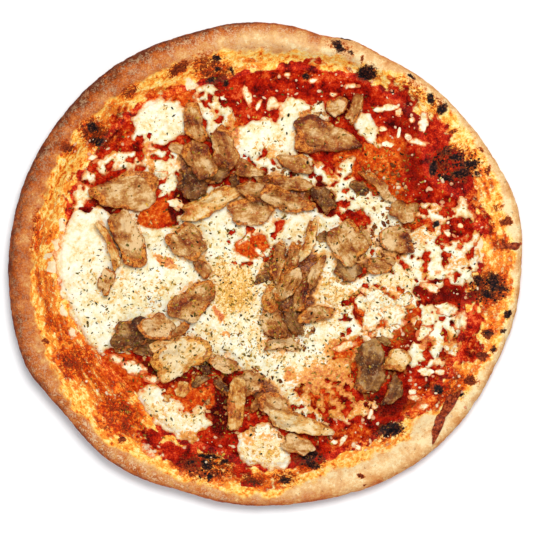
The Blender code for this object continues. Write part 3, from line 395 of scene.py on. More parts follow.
# Brown scorched spots: softer and redder than the charred ones.
SCORCHED_SPOTS = (
    Spot(x=95, y=134, half_length=17, half_width=13, turn=-60, strength=0.75),
    Spot(x=69, y=148, half_length=7, half_width=6, strength=0.85),
    Spot(x=178, y=70, half_length=11, half_width=5, turn=32, strength=1.0),
    Spot(x=213, y=70, half_length=22, half_width=14, turn=-20, strength=0.64),
    Spot(x=213, y=88, half_length=18, half_width=4, turn=-10, strength=0.6),
    Spot(x=130, y=92, half_length=10, half_width=6, turn=40, strength=0.6),
    Spot(x=368, y=74, half_length=12, half_width=9, strength=0.45),
    Spot(x=341, y=49, half_length=15, half_width=7, turn=-25, strength=0.4),
    Spot(x=412, y=90, half_length=20, half_width=10, turn=-40, strength=0.4),
    Spot(x=436, y=108, half_length=12, half_width=8, turn=60, strength=0.45),
    Spot(x=362, y=60, half_length=4.4, half_width=1.4, turn=65, strength=1.0),
    Spot(x=455, y=164, half_length=27, half_width=20, turn=-8, strength=0.65),
    Spot(x=453, y=131, half_length=6, half_width=2.2, turn=28, strength=0.8),
    Spot(x=488, y=170, half_length=3, half_width=6, turn=-20, strength=0.8),
    Spot(x=481, y=150, half_length=2.6, half_width=2, turn=-30, strength=0.8),
    Spot(x=506, y=222, half_length=6, half_width=4.4, turn=12, strength=1.1),
    Spot(x=497, y=208, half_length=6, half_width=3, turn=20, strength=0.6),
    Spot(x=491, y=228, half_length=4, half_width=8, strength=0.6),
    Spot(x=502, y=245, half_length=7, half_width=6, strength=0.7),
    Spot(x=488, y=288, half_length=20, half_width=17, strength=0.8),
    Spot(x=487, y=333, half_length=6.5, half_width=5.4, strength=1.0),
    Spot(x=482, y=356, half_length=5.4, half_width=4.6, turn=15, strength=1.1),
    Spot(x=493, y=349, half_length=4, half_width=4, strength=0.9),
    Spot(x=470, y=380, half_length=7.4, half_width=4.6, turn=-8, strength=1.1),
    Spot(x=460, y=378, half_length=8, half_width=4, turn=10, strength=0.6),
    Spot(x=446, y=392, half_length=18, half_width=8, strength=0.5),
    Spot(x=389, y=431, half_length=17, half_width=10, turn=12, strength=0.55),
    Spot(x=361, y=475, half_length=3.6, half_width=3, strength=1.3),
    Spot(x=363, y=485, half_length=1.8, half_width=1.4, strength=1.0),
    Spot(x=207, y=466, half_length=30, half_width=14, turn=-4, strength=0.7),
    Spot(x=310, y=460, half_length=18, half_width=10, strength=0.75),
    Spot(x=284, y=477, half_length=14, half_width=8, strength=0.6),
    Spot(x=252, y=480, half_length=14, half_width=5, turn=-6, strength=0.75),
    Spot(x=70, y=360, half_length=9, half_width=6, turn=-45, strength=0.75),
    Spot(x=80, y=364, half_length=18, half_width=15, turn=-45, strength=0.44),
    Spot(x=120, y=406, half_length=18, half_width=6, turn=-30, strength=0.6),
    Spot(x=126, y=424, half_length=8, half_width=5, turn=-60, strength=0.65),
    Spot(x=118, y=416, half_length=22, half_width=15, turn=-45, strength=0.42),
    Spot(x=106, y=426, half_length=10, half_width=5, turn=-50, strength=0.5),
    Spot(x=122, y=438, half_length=4, half_width=4, strength=0.9),
    Spot(x=47, y=341, half_length=4, half_width=3, strength=0.85),
    Spot(x=57, y=110, half_length=14, half_width=3.4, turn=52, strength=0.6),
    Spot(x=155, y=44, half_length=16, half_width=2.6, turn=22, strength=0.7),
    Spot(x=36, y=232, half_length=24, half_width=4, turn=82, strength=0.5),
)
# Orange to red stains on the golden zone.
STAIN_SPOTS = (
    Spot(x=41, y=236, half_length=34, half_width=9, turn=84, strength=0.75),
    Spot(x=49, y=292, half_length=36, half_width=16, turn=-80, strength=0.78),
    Spot(x=62, y=330, half_length=30, half_width=13, turn=-60, strength=0.9),
    Spot(x=78, y=362, half_length=30, half_width=24, turn=-40, strength=1.0),
    Spot(x=112, y=375, half_length=26, half_width=22, turn=-30, strength=1.1),
    Spot(x=120, y=413, half_length=32, half_width=24, turn=-40, strength=1.05),
    Spot(x=92, y=394, half_length=34, half_width=10, turn=-48, strength=0.5),
    Spot(x=482, y=300, half_length=14, half_width=22, turn=10, strength=0.8),
    Spot(x=60, y=205, half_length=30, half_width=7, turn=70, strength=0.45),
    Spot(x=97, y=135, half_length=22, half_width=16, turn=-60, strength=0.9),
    Spot(x=118, y=120, half_length=22, half_width=20, turn=60, strength=0.8),
    Spot(x=128, y=90, half_length=14, half_width=9, turn=40, strength=0.7),
    Spot(x=165, y=93, half_length=28, half_width=8, turn=4, strength=0.85),
    Spot(x=180, y=70, half_length=16, half_width=8, turn=15, strength=0.6),
    Spot(x=214, y=72, half_length=28, half_width=17, turn=-15, strength=0.6),
    Spot(x=249, y=67, half_length=17, half_width=10, turn=10, strength=0.75),
    Spot(x=303, y=68, half_length=24, half_width=6, turn=12, strength=0.9),
    Spot(x=345, y=76, half_length=24, half_width=8, turn=-8, strength=0.75),
    Spot(x=391, y=102, half_length=22, half_width=11, turn=-40, strength=0.7),
    Spot(x=436, y=128, half_length=22, half_width=14, turn=-45, strength=0.7),
    Spot(x=478, y=190, half_length=18, half_width=26, turn=-15, strength=0.7),
    Spot(x=500, y=205, half_length=8, half_width=14, strength=0.3),
    Spot(x=496, y=248, half_length=14, half_width=36, strength=0.75),
    Spot(x=498, y=270, half_length=16, half_width=22, strength=0.7),
    Spot(x=496, y=320, half_length=12, half_width=22, turn=-15, strength=0.7),
    Spot(x=480, y=358, half_length=14, half_width=26, turn=-22, strength=0.65),
    Spot(x=452, y=385, half_length=24, half_width=15, turn=35, strength=0.8),
    Spot(x=428, y=412, half_length=22, half_width=14, turn=35, strength=0.75),
    Spot(x=380, y=442, half_length=24, half_width=11, turn=15, strength=0.6),
    Spot(x=340, y=458, half_length=28, half_width=9, turn=6, strength=0.45),
    Spot(x=300, y=466, half_length=20, half_width=11, turn=4, strength=0.7),
    Spot(x=262, y=481, half_length=30, half_width=9, turn=0, strength=0.8),
    Spot(x=222, y=476, half_length=26, half_width=12, turn=-6, strength=0.7),
    Spot(x=185, y=462, half_length=20, half_width=12, turn=-25, strength=0.9),
    Spot(x=148, y=446, half_length=24, half_width=10, turn=-42, strength=0.8),
    Spot(x=40, y=204, half_length=5, half_width=16, strength=0.2),
    Spot(x=509, y=280, half_length=8, half_width=30, strength=0.75),
)
# Sauce that lies on the slope of the rim, outside the main layer.
SMEAR_SPOTS = (
    Spot(x=124, y=132, half_length=15, half_width=26, turn=-10, strength=0.9),
    Spot(x=92, y=170, half_length=20, half_width=8, turn=15, strength=0.9),
    Spot(x=76, y=188, half_length=7, half_width=12, strength=0.8),
    Spot(x=67, y=207, half_length=4, half_width=14, turn=8, strength=0.75),
    Spot(x=302, y=62, half_length=24, half_width=3.6, turn=16, strength=0.95),
    Spot(x=285, y=72, half_length=16, half_width=7, turn=0, strength=0.8),
    Spot(x=330, y=78, half_length=26, half_width=8, turn=-5, strength=0.8),
    Spot(x=400, y=100, half_length=22, half_width=14, turn=-45, strength=0.8),
    Spot(x=436, y=132, half_length=18, half_width=13, turn=-40, strength=0.8),
    Spot(x=455, y=190, half_length=26, half_width=14, turn=-30, strength=0.9),
    Spot(x=484, y=222, half_length=8, half_width=20, turn=10, strength=0.7),
    Spot(x=472, y=264, half_length=14, half_width=8, turn=-30, strength=0.8),
    Spot(x=472, y=298, half_length=9, half_width=10, turn=15, strength=0.8),
    Spot(x=474, y=322, half_length=9, half_width=16, turn=-10, strength=0.9),
    Spot(x=470, y=350, half_length=11, half_width=16, turn=-25, strength=0.8),
    Spot(x=425, y=398, half_length=30, half_width=18, turn=35, strength=0.8),
    Spot(x=350, y=440, half_length=36, half_width=11, turn=12, strength=0.9),
    Spot(x=300, y=462, half_length=14, half_width=6, turn=4, strength=0.8),
    Spot(x=240, y=470, half_length=14, half_width=8, turn=10, strength=0.7),
    Spot(x=250, y=483, half_length=13, half_width=4, turn=-8, strength=0.8),
    Spot(x=182, y=455, half_length=26, half_width=11, turn=-22, strength=0.95),
    Spot(x=150, y=437, half_length=14, half_width=9, turn=-45, strength=0.9),
    Spot(x=110, y=370, half_length=12, half_width=14, strength=0.5),
)
# Melted cheese that runs up the slope of the rim.
MELT_SPOTS = (
    Spot(x=189, y=81, half_length=4, half_width=7, turn=35, strength=0.7),
    Spot(x=193, y=90, half_length=6, half_width=9, turn=30, strength=0.85),
    Spot(x=198, y=101, half_length=7, half_width=10, turn=30, strength=0.9),
    Spot(x=62, y=262, half_length=9, half_width=30, strength=0.55),
    Spot(x=61, y=226, half_length=4, half_width=7, strength=0.75),
    Spot(x=57, y=247, half_length=5, half_width=8, strength=0.8),
    Spot(x=53, y=268, half_length=6, half_width=6, strength=0.85),
    Spot(x=49, y=255, half_length=3, half_width=2.6, strength=0.8),
    Spot(x=62, y=310, half_length=4, half_width=8, turn=20, strength=0.7),
    Spot(x=73, y=333, half_length=4, half_width=6, turn=35, strength=0.65),
    Spot(x=150, y=452, half_length=12, half_width=5, turn=-40, strength=0.45),
    Spot(x=478, y=248, half_length=6, half_width=14, strength=0.8),
)

# ---------------------------------------------------------------- where the sauce's colours lie
SAUCE_ORANGE_SPOTS = (
    Spot(x=384, y=156, half_length=24, half_width=22, turn=0, strength=1.0),
    Spot(x=348, y=160, half_length=16, half_width=16, strength=0.85),
    Spot(x=385, y=185, half_length=26, half_width=16, turn=-40, strength=0.8),
    Spot(x=190, y=398, half_length=26, half_width=16, strength=1.0),
    Spot(x=152, y=213, half_length=26, half_width=15, turn=-8, strength=0.95),
    Spot(x=112, y=376, half_length=34, half_width=28, strength=0.95),
    Spot(x=125, y=402, half_length=34, half_width=24, turn=-40, strength=0.9),
    Spot(x=252, y=247, half_length=20, half_width=16, turn=40, strength=0.9),
    Spot(x=120, y=125, half_length=24, half_width=30, turn=-30, strength=0.45),
    Spot(x=165, y=96, half_length=34, half_width=10, strength=0.85),
    Spot(x=232, y=132, half_length=12, half_width=20, strength=0.8),
    Spot(x=425, y=225, half_length=26, half_width=12, strength=0.5),
    Spot(x=430, y=400, half_length=26, half_width=18, turn=35, strength=0.55),
    Spot(x=352, y=352, half_length=22, half_width=16, strength=0.85),
    Spot(x=388, y=316, half_length=32, half_width=26, strength=1.0),
    Spot(x=320, y=395, half_length=24, half_width=14, strength=0.6),
    Spot(x=480, y=200, half_length=14, half_width=20, strength=0.5),
    Spot(x=300, y=76, half_length=50, half_width=6, strength=0.4),
    Spot(x=455, y=352, half_length=28, half_width=30, strength=0.35),
    Spot(x=352, y=438, half_length=26, half_width=12, turn=8, strength=0.6),
    Spot(x=418, y=404, half_length=22, half_width=12, turn=35, strength=0.9),
    Spot(x=400, y=335, half_length=10, half_width=16, strength=0.6),
)
# Dark cooked sauce, and painted shade in the hollows beside the slices and the cheese.
SAUCE_DARK_AND_SHADE_SPOTS = (
    Spot(x=405, y=120, half_length=22, half_width=28, turn=30, strength=0.55),
    Spot(x=412, y=168, half_length=11, half_width=32, turn=14, strength=0.6),
    Spot(x=330, y=95, half_length=60, half_width=14, strength=0.35),
    Spot(x=107, y=222, half_length=12, half_width=34, turn=20, strength=0.85),
    Spot(x=178, y=205, half_length=9, half_width=20, strength=0.9),
    Spot(x=440, y=292, half_length=40, half_width=12, turn=-10, strength=0.7),
    Spot(x=410, y=345, half_length=12, half_width=40, strength=0.6),
    Spot(x=385, y=405, half_length=38, half_width=14, turn=8, strength=0.75),
    Spot(x=222, y=405, half_length=11, half_width=36, turn=-5, strength=1.0),
    Spot(x=160, y=372, half_length=30, half_width=7, turn=-20, strength=0.8),
    Spot(x=325, y=198, half_length=14, half_width=20, turn=20, strength=1.0),
    Spot(x=325, y=244, half_length=12, half_width=22, strength=0.9),
    Spot(x=345, y=105, half_length=9, half_width=13, strength=0.9),
    Spot(x=388, y=212, half_length=7, half_width=16, strength=0.9),
    Spot(x=295, y=345, half_length=40, half_width=30, strength=0.3),
    Spot(x=402, y=333, half_length=9, half_width=12, strength=0.5),
)

# ---------------------------------------------------------------- where the cheese's colours lie
CHEESE_YELLOW_SPOTS = (
    Spot(x=235, y=290, half_length=28, half_width=36, strength=0.9),
    Spot(x=398, y=276, half_length=24, half_width=22, strength=0.7),
    Spot(x=318, y=370, half_length=36, half_width=16, strength=0.6),
    Spot(x=120, y=300, half_length=60, half_width=44, strength=0.3),
    Spot(x=150, y=270, half_length=60, half_width=30, strength=0.25),
    Spot(x=172, y=415, half_length=36, half_width=24, strength=0.62),
    Spot(x=262, y=452, half_length=26, half_width=22, strength=0.72),
    Spot(x=250, y=310, half_length=64, half_width=52, strength=0.54),
    Spot(x=335, y=300, half_length=26, half_width=34, strength=0.6),
    Spot(x=262, y=150, half_length=30, half_width=24, strength=0.3),
    Spot(x=160, y=122, half_length=30, half_width=18, strength=0.3),
    Spot(x=440, y=245, half_length=26, half_width=14, strength=0.35),
)
CHEESE_ORANGE_SPOTS = (
    Spot(x=330, y=385, half_length=40, half_width=26, strength=0.78),
    Spot(x=385, y=305, half_length=34, half_width=20, turn=-20, strength=0.75),
    Spot(x=378, y=325, half_length=18, half_width=20, strength=0.7),
    Spot(x=340, y=405, half_length=34, half_width=16, strength=0.75),
    Spot(x=345, y=352, half_length=24, half_width=16, strength=0.8),
    Spot(x=420, y=232, half_length=26, half_width=12, strength=0.5),
    Spot(x=485, y=245, half_length=8, half_width=16, strength=0.7),
    Spot(x=476, y=330, half_length=12, half_width=18, strength=0.75),
    Spot(x=428, y=343, half_length=11, half_width=7, strength=0.9),
    Spot(x=455, y=345, half_length=10, half_width=14, turn=30, strength=0.9),
    Spot(x=152, y=436, half_length=13, half_width=11, turn=-60, strength=0.9),
    Spot(x=195, y=436, half_length=22, half_width=8, turn=10, strength=0.65),
    Spot(x=105, y=148, half_length=18, half_width=8, strength=0.7),
    Spot(x=144, y=149, half_length=14, half_width=5, turn=-10, strength=0.85),
    Spot(x=151, y=165, half_length=4, half_width=15, turn=15, strength=0.7),
    Spot(x=232, y=130, half_length=8, half_width=18, turn=10, strength=0.8),
    Spot(x=215, y=107, half_length=6, half_width=14, strength=0.45),
    Spot(x=304, y=114, half_length=8, half_width=4, turn=25, strength=0.8),
    Spot(x=268, y=152, half_length=9, half_width=10, strength=0.5),
    Spot(x=316, y=158, half_length=5, half_width=10, turn=30, strength=0.9),
    Spot(x=332, y=174, half_length=5, half_width=9, turn=20, strength=0.9),
    Spot(x=165, y=262, half_length=13, half_width=5, turn=-30, strength=0.8),
    Spot(x=218, y=314, half_length=9, half_width=3.4, turn=-58, strength=1.0),
    Spot(x=226, y=335, half_length=4, half_width=2, strength=0.8),
    Spot(x=268, y=435, half_length=12, half_width=7, strength=0.5),
    Spot(x=248, y=436, half_length=8, half_width=8, strength=0.6),
    Spot(x=290, y=374, half_length=6, half_width=9, strength=0.8),
    Spot(x=425, y=272, half_length=6, half_width=6, strength=0.7),
    Spot(x=352, y=300, half_length=8, half_width=10, strength=0.7),
    Spot(x=365, y=318, half_length=6, half_width=10, strength=0.9),
    Spot(x=150, y=376, half_length=26, half_width=12, strength=0.55),
    Spot(x=440, y=206, half_length=20, half_width=8, strength=0.6),
    Spot(x=468, y=228, half_length=10, half_width=10, strength=0.6),
    Spot(x=456, y=262, half_length=20, half_width=9, turn=-10, strength=0.5),
)

# Brown meat juice and painted shade in the gaps of the thick clusters.
JUICE_AND_SHADE_SPOTS = (
    Spot(x=293, y=298, half_length=54, half_width=22, turn=72, strength=1.3),
    Spot(x=280, y=270, half_length=20, half_width=14, strength=1.3),
    Spot(x=205, y=162, half_length=30, half_width=22, strength=1.2),
    Spot(x=275, y=190, half_length=46, half_width=18, turn=-8, strength=1.0),
    Spot(x=158, y=340, half_length=34, half_width=12, strength=1.0),
    Spot(x=250, y=400, half_length=34, half_width=26, strength=1.2),
    Spot(x=355, y=262, half_length=26, half_width=14, turn=-20, strength=1.0),
    Spot(x=393, y=245, half_length=22, half_width=18, strength=0.9),
)
# Where the cheese is broken into crumbs.
CRUMBLY_SPOTS = (
    Spot(x=444, y=330, half_length=40, half_width=30, strength=0.42),
    Spot(x=252, y=247, half_length=20, half_width=18, strength=0.5),
    Spot(x=378, y=316, half_length=34, half_width=26, strength=0.35),
    Spot(x=470, y=225, half_length=30, half_width=34, turn=-30, strength=0.8),
    Spot(x=430, y=262, half_length=46, half_width=16, turn=-8, strength=0.6),
    Spot(x=440, y=214, half_length=30, half_width=10, strength=0.7),
    Spot(x=124, y=158, half_length=40, half_width=18, turn=6, strength=0.8),
    Spot(x=84, y=191, half_length=20, half_width=18, strength=0.8),
    Spot(x=340, y=408, half_length=40, half_width=20, turn=-12, strength=0.4),
    Spot(x=165, y=166, half_length=26, half_width=16, strength=0.6),
    Spot(x=270, y=165, half_length=24, half_width=14, strength=0.6),
    Spot(x=335, y=180, half_length=20, half_width=30, strength=0.6),
    Spot(x=210, y=108, half_length=18, half_width=24, strength=0.5),
)

# ---------------------------------------------------------------- scattered small things
# Herb flakes: where they lie and how many to a thousand square view pixels.
Field = namedtuple("Field", "x y half_length half_width density")
HERB_FIELDS = (
    Field(x=185, y=300, half_length=115, half_width=80, density=34),
    Field(x=330, y=300, half_length=90, half_width=80, density=26),
    Field(x=240, y=180, half_length=160, half_width=90, density=12),
    Field(x=250, y=400, half_length=130, half_width=60, density=14),
    Field(x=380, y=190, half_length=50, half_width=50, density=22),
    Field(x=430, y=280, half_length=60, half_width=90, density=12),
    Field(x=250, y=350, half_length=60, half_width=30, density=30),
    Field(x=265, y=265, half_length=215, half_width=200, density=3),
)
HERB_SEED = 5
HERB_LENGTH = (0.9 * MM, 3.2 * MM)
HERB_THICKNESS = 0.22 * MM
HERB_TINTS = ("84681e", "5a4414", "261c0a", "b08a2c", "d8a63a", "e8cc84", "9c5a18", "6a5a1c")
HERB_TINT_ODDS = (0.17, 0.12, 0.09, 0.19, 0.21, 0.08, 0.08, 0.06)

CRUMB_FIELDS = (
    Field(x=320, y=86, half_length=64, half_width=20, density=9),
    Field(x=400, y=125, half_length=34, half_width=36, density=9),
    Field(x=432, y=196, half_length=36, half_width=24, density=9),
    Field(x=450, y=292, half_length=34, half_width=22, density=8),
    Field(x=440, y=392, half_length=36, half_width=26, density=10),
    Field(x=358, y=432, half_length=44, half_width=22, density=14),
    Field(x=190, y=448, half_length=46, half_width=18, density=8),
    Field(x=118, y=150, half_length=44, half_width=22, density=8),
    Field(x=84, y=180, half_length=18, half_width=22, density=9),
    Field(x=420, y=345, half_length=22, half_width=46, density=9),
    Field(x=108, y=378, half_length=24, half_width=26, density=6),
    Field(x=245, y=110, half_length=30, half_width=26, density=8),
    Field(x=470, y=232, half_length=24, half_width=34, density=9),
    Field(x=385, y=195, half_length=36, half_width=24, density=7),
)
CRUMB_SEED = 8
# Larger scraps of cheese on the sauce: half length and half width in view pixels.
SHREDS = (
    Spot(x=386, y=108, half_length=15, half_width=3.4, turn=12, strength=0.7),
    Spot(x=399, y=112, half_length=4.4, half_width=4, strength=0.5),
    Spot(x=424, y=121, half_length=10, half_width=5, turn=80, strength=0.8),
    Spot(x=418, y=142, half_length=11, half_width=3.4, turn=-8, strength=0.5),
    Spot(x=409, y=138, half_length=4, half_width=3, turn=-60, strength=0.6),
    Spot(x=399, y=132, half_length=5, half_width=1.8, turn=84, strength=1.0),
    Spot(x=384, y=129, half_length=4, half_width=3, strength=0.6),
    Spot(x=388, y=144, half_length=6, half_width=3.4, turn=-14, strength=0.8),
    Spot(x=412, y=120, half_length=3.4, half_width=3.4, strength=0.4),
    Spot(x=352, y=86, half_length=8, half_width=2.8, turn=4, strength=0.3),
    Spot(x=333, y=94, half_length=4, half_width=2.6, strength=0.35),
    Spot(x=313, y=80, half_length=5, half_width=3, turn=20, strength=0.4),
    Spot(x=288, y=74, half_length=3.4, half_width=2.4, strength=0.4),
    Spot(x=247, y=96, half_length=10, half_width=4, turn=-75, strength=0.5),
    Spot(x=259, y=104, half_length=6, half_width=2.4, turn=60, strength=0.4),
    Spot(x=92, y=158, half_length=6, half_width=3, turn=20, strength=0.5),
    Spot(x=447, y=233, half_length=5, half_width=2.6, turn=-40, strength=0.7),
    Spot(x=461, y=226, half_length=3, half_width=2.4, strength=0.7),
    Spot(x=426, y=372, half_length=8, half_width=4.4, turn=-20, strength=0.8),
    Spot(x=440, y=372, half_length=5, half_width=3, strength=0.6),
    Spot(x=413, y=392, half_length=4, half_width=3, strength=0.6),
    Spot(x=334, y=443, half_length=4, half_width=3, turn=30, strength=0.6),
    Spot(x=343, y=441, half_length=7, half_width=2.6, turn=60, strength=0.6),
    Spot(x=357, y=447, half_length=6, half_width=3, turn=-30, strength=0.5),
    Spot(x=371, y=415, half_length=5, half_width=3, turn=70, strength=0.6),
    Spot(x=168, y=187, half_length=12, half_width=7, turn=55, strength=1.0),
    Spot(x=176, y=203, half_length=8, half_width=5, turn=-30, strength=0.8),
    Spot(x=160, y=176, half_length=8, half_width=5, turn=20, strength=0.8),
    Spot(x=246, y=238, half_length=9, half_width=3.4, turn=40, strength=0.4),
    Spot(x=260, y=252, half_length=7, half_width=3, turn=-50, strength=0.3),
    Spot(x=366, y=304, half_length=10, half_width=5, turn=-60, strength=0.6),
    Spot(x=385, y=316, half_length=13, half_width=6, turn=-40, strength=0.45),
    Spot(x=397, y=326, half_length=9, half_width=5, turn=30, strength=0.35),
    Spot(x=402, y=308, half_length=9, half_width=4, turn=-60, strength=0.5),
    Spot(x=378, y=332, half_length=9, half_width=5, turn=10, strength=0.4),
    Spot(x=346, y=346, half_length=12, half_width=4, turn=20, strength=0.4),
    Spot(x=134, y=368, half_length=15, half_width=7, turn=-16, strength=0.5),
    Spot(x=116, y=360, half_length=8, half_width=5, turn=-40, strength=0.4),
    Spot(x=152, y=380, half_length=8, half_width=5, turn=-10, strength=0.4),
    Spot(x=378, y=300, half_length=18, half_width=10, turn=-24, strength=1.0),
    Spot(x=393, y=316, half_length=13, half_width=11, turn=-40, strength=0.9),
    Spot(x=372, y=318, half_length=13, half_width=10, turn=60, strength=0.9),
    Spot(x=386, y=334, half_length=11, half_width=7, turn=10, strength=0.7),
    Spot(x=362, y=302, half_length=9, half_width=7, turn=-50, strength=0.85),
    Spot(x=404, y=300, half_length=9, half_width=8, turn=20, strength=0.9),
    Spot(x=448, y=310, half_length=11, half_width=7, turn=-10, strength=0.65),
    Spot(x=461, y=322, half_length=10, half_width=7, turn=70, strength=0.65),
    Spot(x=424, y=332, half_length=10, half_width=6, turn=40, strength=0.6),
    Spot(x=452, y=350, half_length=8, half_width=6, strength=0.65),
    Spot(x=432, y=288, half_length=10, half_width=4, turn=-15, strength=0.5),
    Spot(x=415, y=398, half_length=7, half_width=4, turn=-20, strength=0.3),
    Spot(x=424, y=407, half_length=6, half_width=3.4, turn=30, strength=0.3),
)
SHRED_THICKNESS = 0.2
SHRED_FINENESS = 4
CRUMB_LENGTH = (1.0 * MM, 3.4 * MM)
SMALL_LUMP = 2.2 * MM

MEAT_BIT_FIELDS = (
    Field(x=290, y=270, half_length=28, half_width=30, density=60),
    Field(x=290, y=320, half_length=28, half_width=34, density=60),
    Field(x=207, y=165, half_length=34, half_width=34, density=30),
    Field(x=270, y=192, half_length=50, half_width=26, density=22),
    Field(x=158, y=340, half_length=44, half_width=20, density=30),
    Field(x=245, y=400, half_length=44, half_width=34, density=36),
    Field(x=300, y=430, half_length=36, half_width=20, density=30),
    Field(x=352, y=255, half_length=24, half_width=34, density=24),
    Field(x=392, y=243, half_length=26, half_width=26, density=50),
    Field(x=384, y=190, half_length=24, half_width=28, density=36),
    Field(x=340, y=112, half_length=30, half_width=14, density=36),
    Field(x=378, y=372, half_length=30, half_width=32, density=36),
    Field(x=125, y=235, half_length=18, half_width=36, density=30),
    Field(x=190, y=365, half_length=26, half_width=30, density=24),
)
MEAT_BIT_SEED = 33
MEAT_BIT_LENGTH = (1.0 * MM, 3.2 * MM)
MEAT_BIT_TINTS = ("b8682c", "9a5018", "cc9254", "74360e", "bc561c", "e0aa6e", "86420f")

CHAR_CRUMB_FIELDS = (
    Field(x=457, y=166, half_length=28, half_width=16, density=70),
    Field(x=488, y=288, half_length=20, half_width=17, density=40),
    Field(x=391, y=431, half_length=14, half_width=7, density=50),
    Field(x=208, y=466, half_length=22, half_width=12, density=45),
    Field(x=310, y=459, half_length=14, half_width=8, density=35),
    Field(x=367, y=73, half_length=9, half_width=7, density=50),
    Field(x=96, y=135, half_length=12, half_width=14, density=14),
)
CHAR_SEED = 21
CHAR_LENGTH = (0.7 * MM, 1.9 * MM)


# ---------------------------------------------------------------- plan geometry
def place(view_x, view_y):
    """Metres from the dough's centre of places in the view."""
    return (view_x - VIEW_CENTRE[0]) * VIEW_PIXEL, (VIEW_CENTRE[1] - view_y) * VIEW_PIXEL


def view_place(x, y):
    """Places in the view of points in metres: the other way round."""
    return x / VIEW_PIXEL + VIEW_CENTRE[0], VIEW_CENTRE[1] - y / VIEW_PIXEL


def round_curve(stations):
    """A smooth function of angles in degrees, through stations all round the circle."""
    angles = np.array(sorted(stations), dtype=float)
    values = np.array([stations[angle] for angle in sorted(stations)], dtype=float)
    turns = np.concatenate((angles[-2:] - 360, angles, angles[:2] + 360))
    heights = np.concatenate((values[-2:], values, values[:2]))
    slopes = np.gradient(heights, turns)

    def value(angle):
        angle = np.asarray(angle, dtype=float) % 360
        after = np.searchsorted(turns, angle, side="right")
        before = after - 1
        span = turns[after] - turns[before]
        t = (angle - turns[before]) / span
        start = heights[before] * (1 + 2 * t) * (1 - t) ** 2 + slopes[before] * span * t * (1 - t) ** 2
        end = heights[after] * (3 - 2 * t) * t ** 2 + slopes[after] * span * (t - 1) * t ** 2
        return start + end

    return value


outline_radius = round_curve(OUTLINE_RADIUS)
foot_radius = round_curve(FOOT_RADIUS)
crest_height = round_curve(CREST_HEIGHT)
crest_inset = round_curve(CREST_INSET)
gold_outer = round_curve(GOLD_OUTER)
gold_inner = round_curve(GOLD_INNER)
toasted = round_curve(TOASTED)
streaky_rim = round_curve(STREAKY)
brown_depth = round_curve(BROWN_DEPTH)
floury = round_curve(FLOURY)


def smooth_step(t):
    t = np.clip(t, 0.0, 1.0)
    return t * t * (3 - 2 * t)


def relief(x, y, wave, layer=0.0):
    """Gentle unevenness between about -1 and 1, with bumps of about the given width."""
    spots = zip(np.ravel(x / wave).tolist(), np.ravel(y / wave).tolist())
    values = np.array([noise.noise((a, b, layer)) for a, b in spots])
    return NOISE_GAIN * values.reshape(np.shape(x))


def streaks(angle, view_radius, length, width, layer):
    """Unevenness drawn out along the rim, in bumps of the given length and width in view pixels."""
    turn = np.radians(angle)
    along = np.ravel(RIM_REACH / length * np.cos(turn)).tolist()
    across = np.ravel(RIM_REACH / length * np.sin(turn)).tolist()
    outward = np.ravel(view_radius / width + layer).tolist()
    values = np.array([noise.noise(spot) for spot in zip(along, across, outward)])
    return NOISE_GAIN * values.reshape(np.shape(view_radius))


def cells(view_x, view_y, size, layer=0.5):
    """How far each place is from the walls between rounded cells of about the given size."""
    spots = zip(np.ravel(view_x / size).tolist(), np.ravel(view_y / size).tolist())
    nearest = [noise.voronoi((a, b, layer))[0] for a, b in spots]
    gaps = np.array([distances[1] - distances[0] for distances in nearest])
    return size * gaps.reshape(np.shape(view_x))


def rough_relief(x, y, wave, layer=0.0, octaves=3):
    """Unevenness with finer detail on top: each octave is half as wide and half as high."""
    total = np.zeros(np.shape(x))
    for octave in range(octaves):
        total += relief(x, y, wave / 2 ** octave, layer + 11.0 * octave) / 2 ** octave
    return total


def dome(x, y, bumps):
    """Height of the highest blister or mound at points in metres."""
    height = np.zeros(np.shape(x))
    for bump in bumps:
        centre_x, centre_y = place(bump.x, bump.y)
        share = np.hypot(x - centre_x, y - centre_y) / (bump.radius * VIEW_PIXEL)
        here = bump.height * MM * (1 - np.minimum(share, 1.0) ** 2) ** 2
        height = np.maximum(height, here)
    return height


def patch_field(view_x, view_y, patch):
    """View pixels inside the edge of an elliptical patch, roughly."""
    turn = math.radians(patch.turn)
    right = view_x - patch.x
    up = patch.y - view_y
    along = (right * math.cos(turn) + up * math.sin(turn)) / patch.half_length
    across = (up * math.cos(turn) - right * math.sin(turn)) / patch.half_width
    return (1 - np.hypot(along, across)) * min(patch.half_length, patch.half_width)


def meat_field(view_x, view_y):
    """View pixels inside the nearest slice of meat, roughly; negative outside."""
    field = np.full(np.shape(view_x), -1000.0)
    for piece in CHICKEN:
        patch = Patch(piece.x, piece.y, piece.length / 2, piece.width / 2, piece.turn)
        field = np.maximum(field, patch_field(view_x, view_y, patch))
    return field


def spot_mask(view_x, view_y, spots, softness=0.5, ragged=2.2, wave=7.0, layer=31.0):
    """How strongly the spots cover each place, from 0 to 1, with ragged edges."""
    shift_x = ragged * rough_relief(view_x, view_y, wave, layer, 2)
    shift_y = ragged * rough_relief(view_x, view_y, wave, layer + 5.0, 2)
    warped_x, warped_y = view_x + shift_x, view_y + shift_y
    mask = np.zeros(np.shape(view_x))
    for spot in spots:
        turn = math.radians(spot.turn)
        right = warped_x - spot.x
        up = spot.y - warped_y
        along = (right * math.cos(turn) + up * math.sin(turn)) / spot.half_length
        across = (up * math.cos(turn) - right * math.sin(turn)) / spot.half_width
        cover = smooth_step((1 + softness - np.hypot(along, across)) / (2 * softness))
        mask = np.maximum(mask, spot.strength * cover)
    return mask


def outline_middle():
    """The middle of the solid dough's box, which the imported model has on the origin."""
    angles = np.arange(SOLID_SEGMENTS) * 360 / SOLID_SEGMENTS
    radius = outline_radius(angles) * VIEW_PIXEL
    x = radius * np.cos(np.radians(angles))
    y = radius * np.sin(np.radians(angles))
    return (x.min() + x.max()) / 2, (y.min() + y.max()) / 2


MIDDLE = outline_middle()


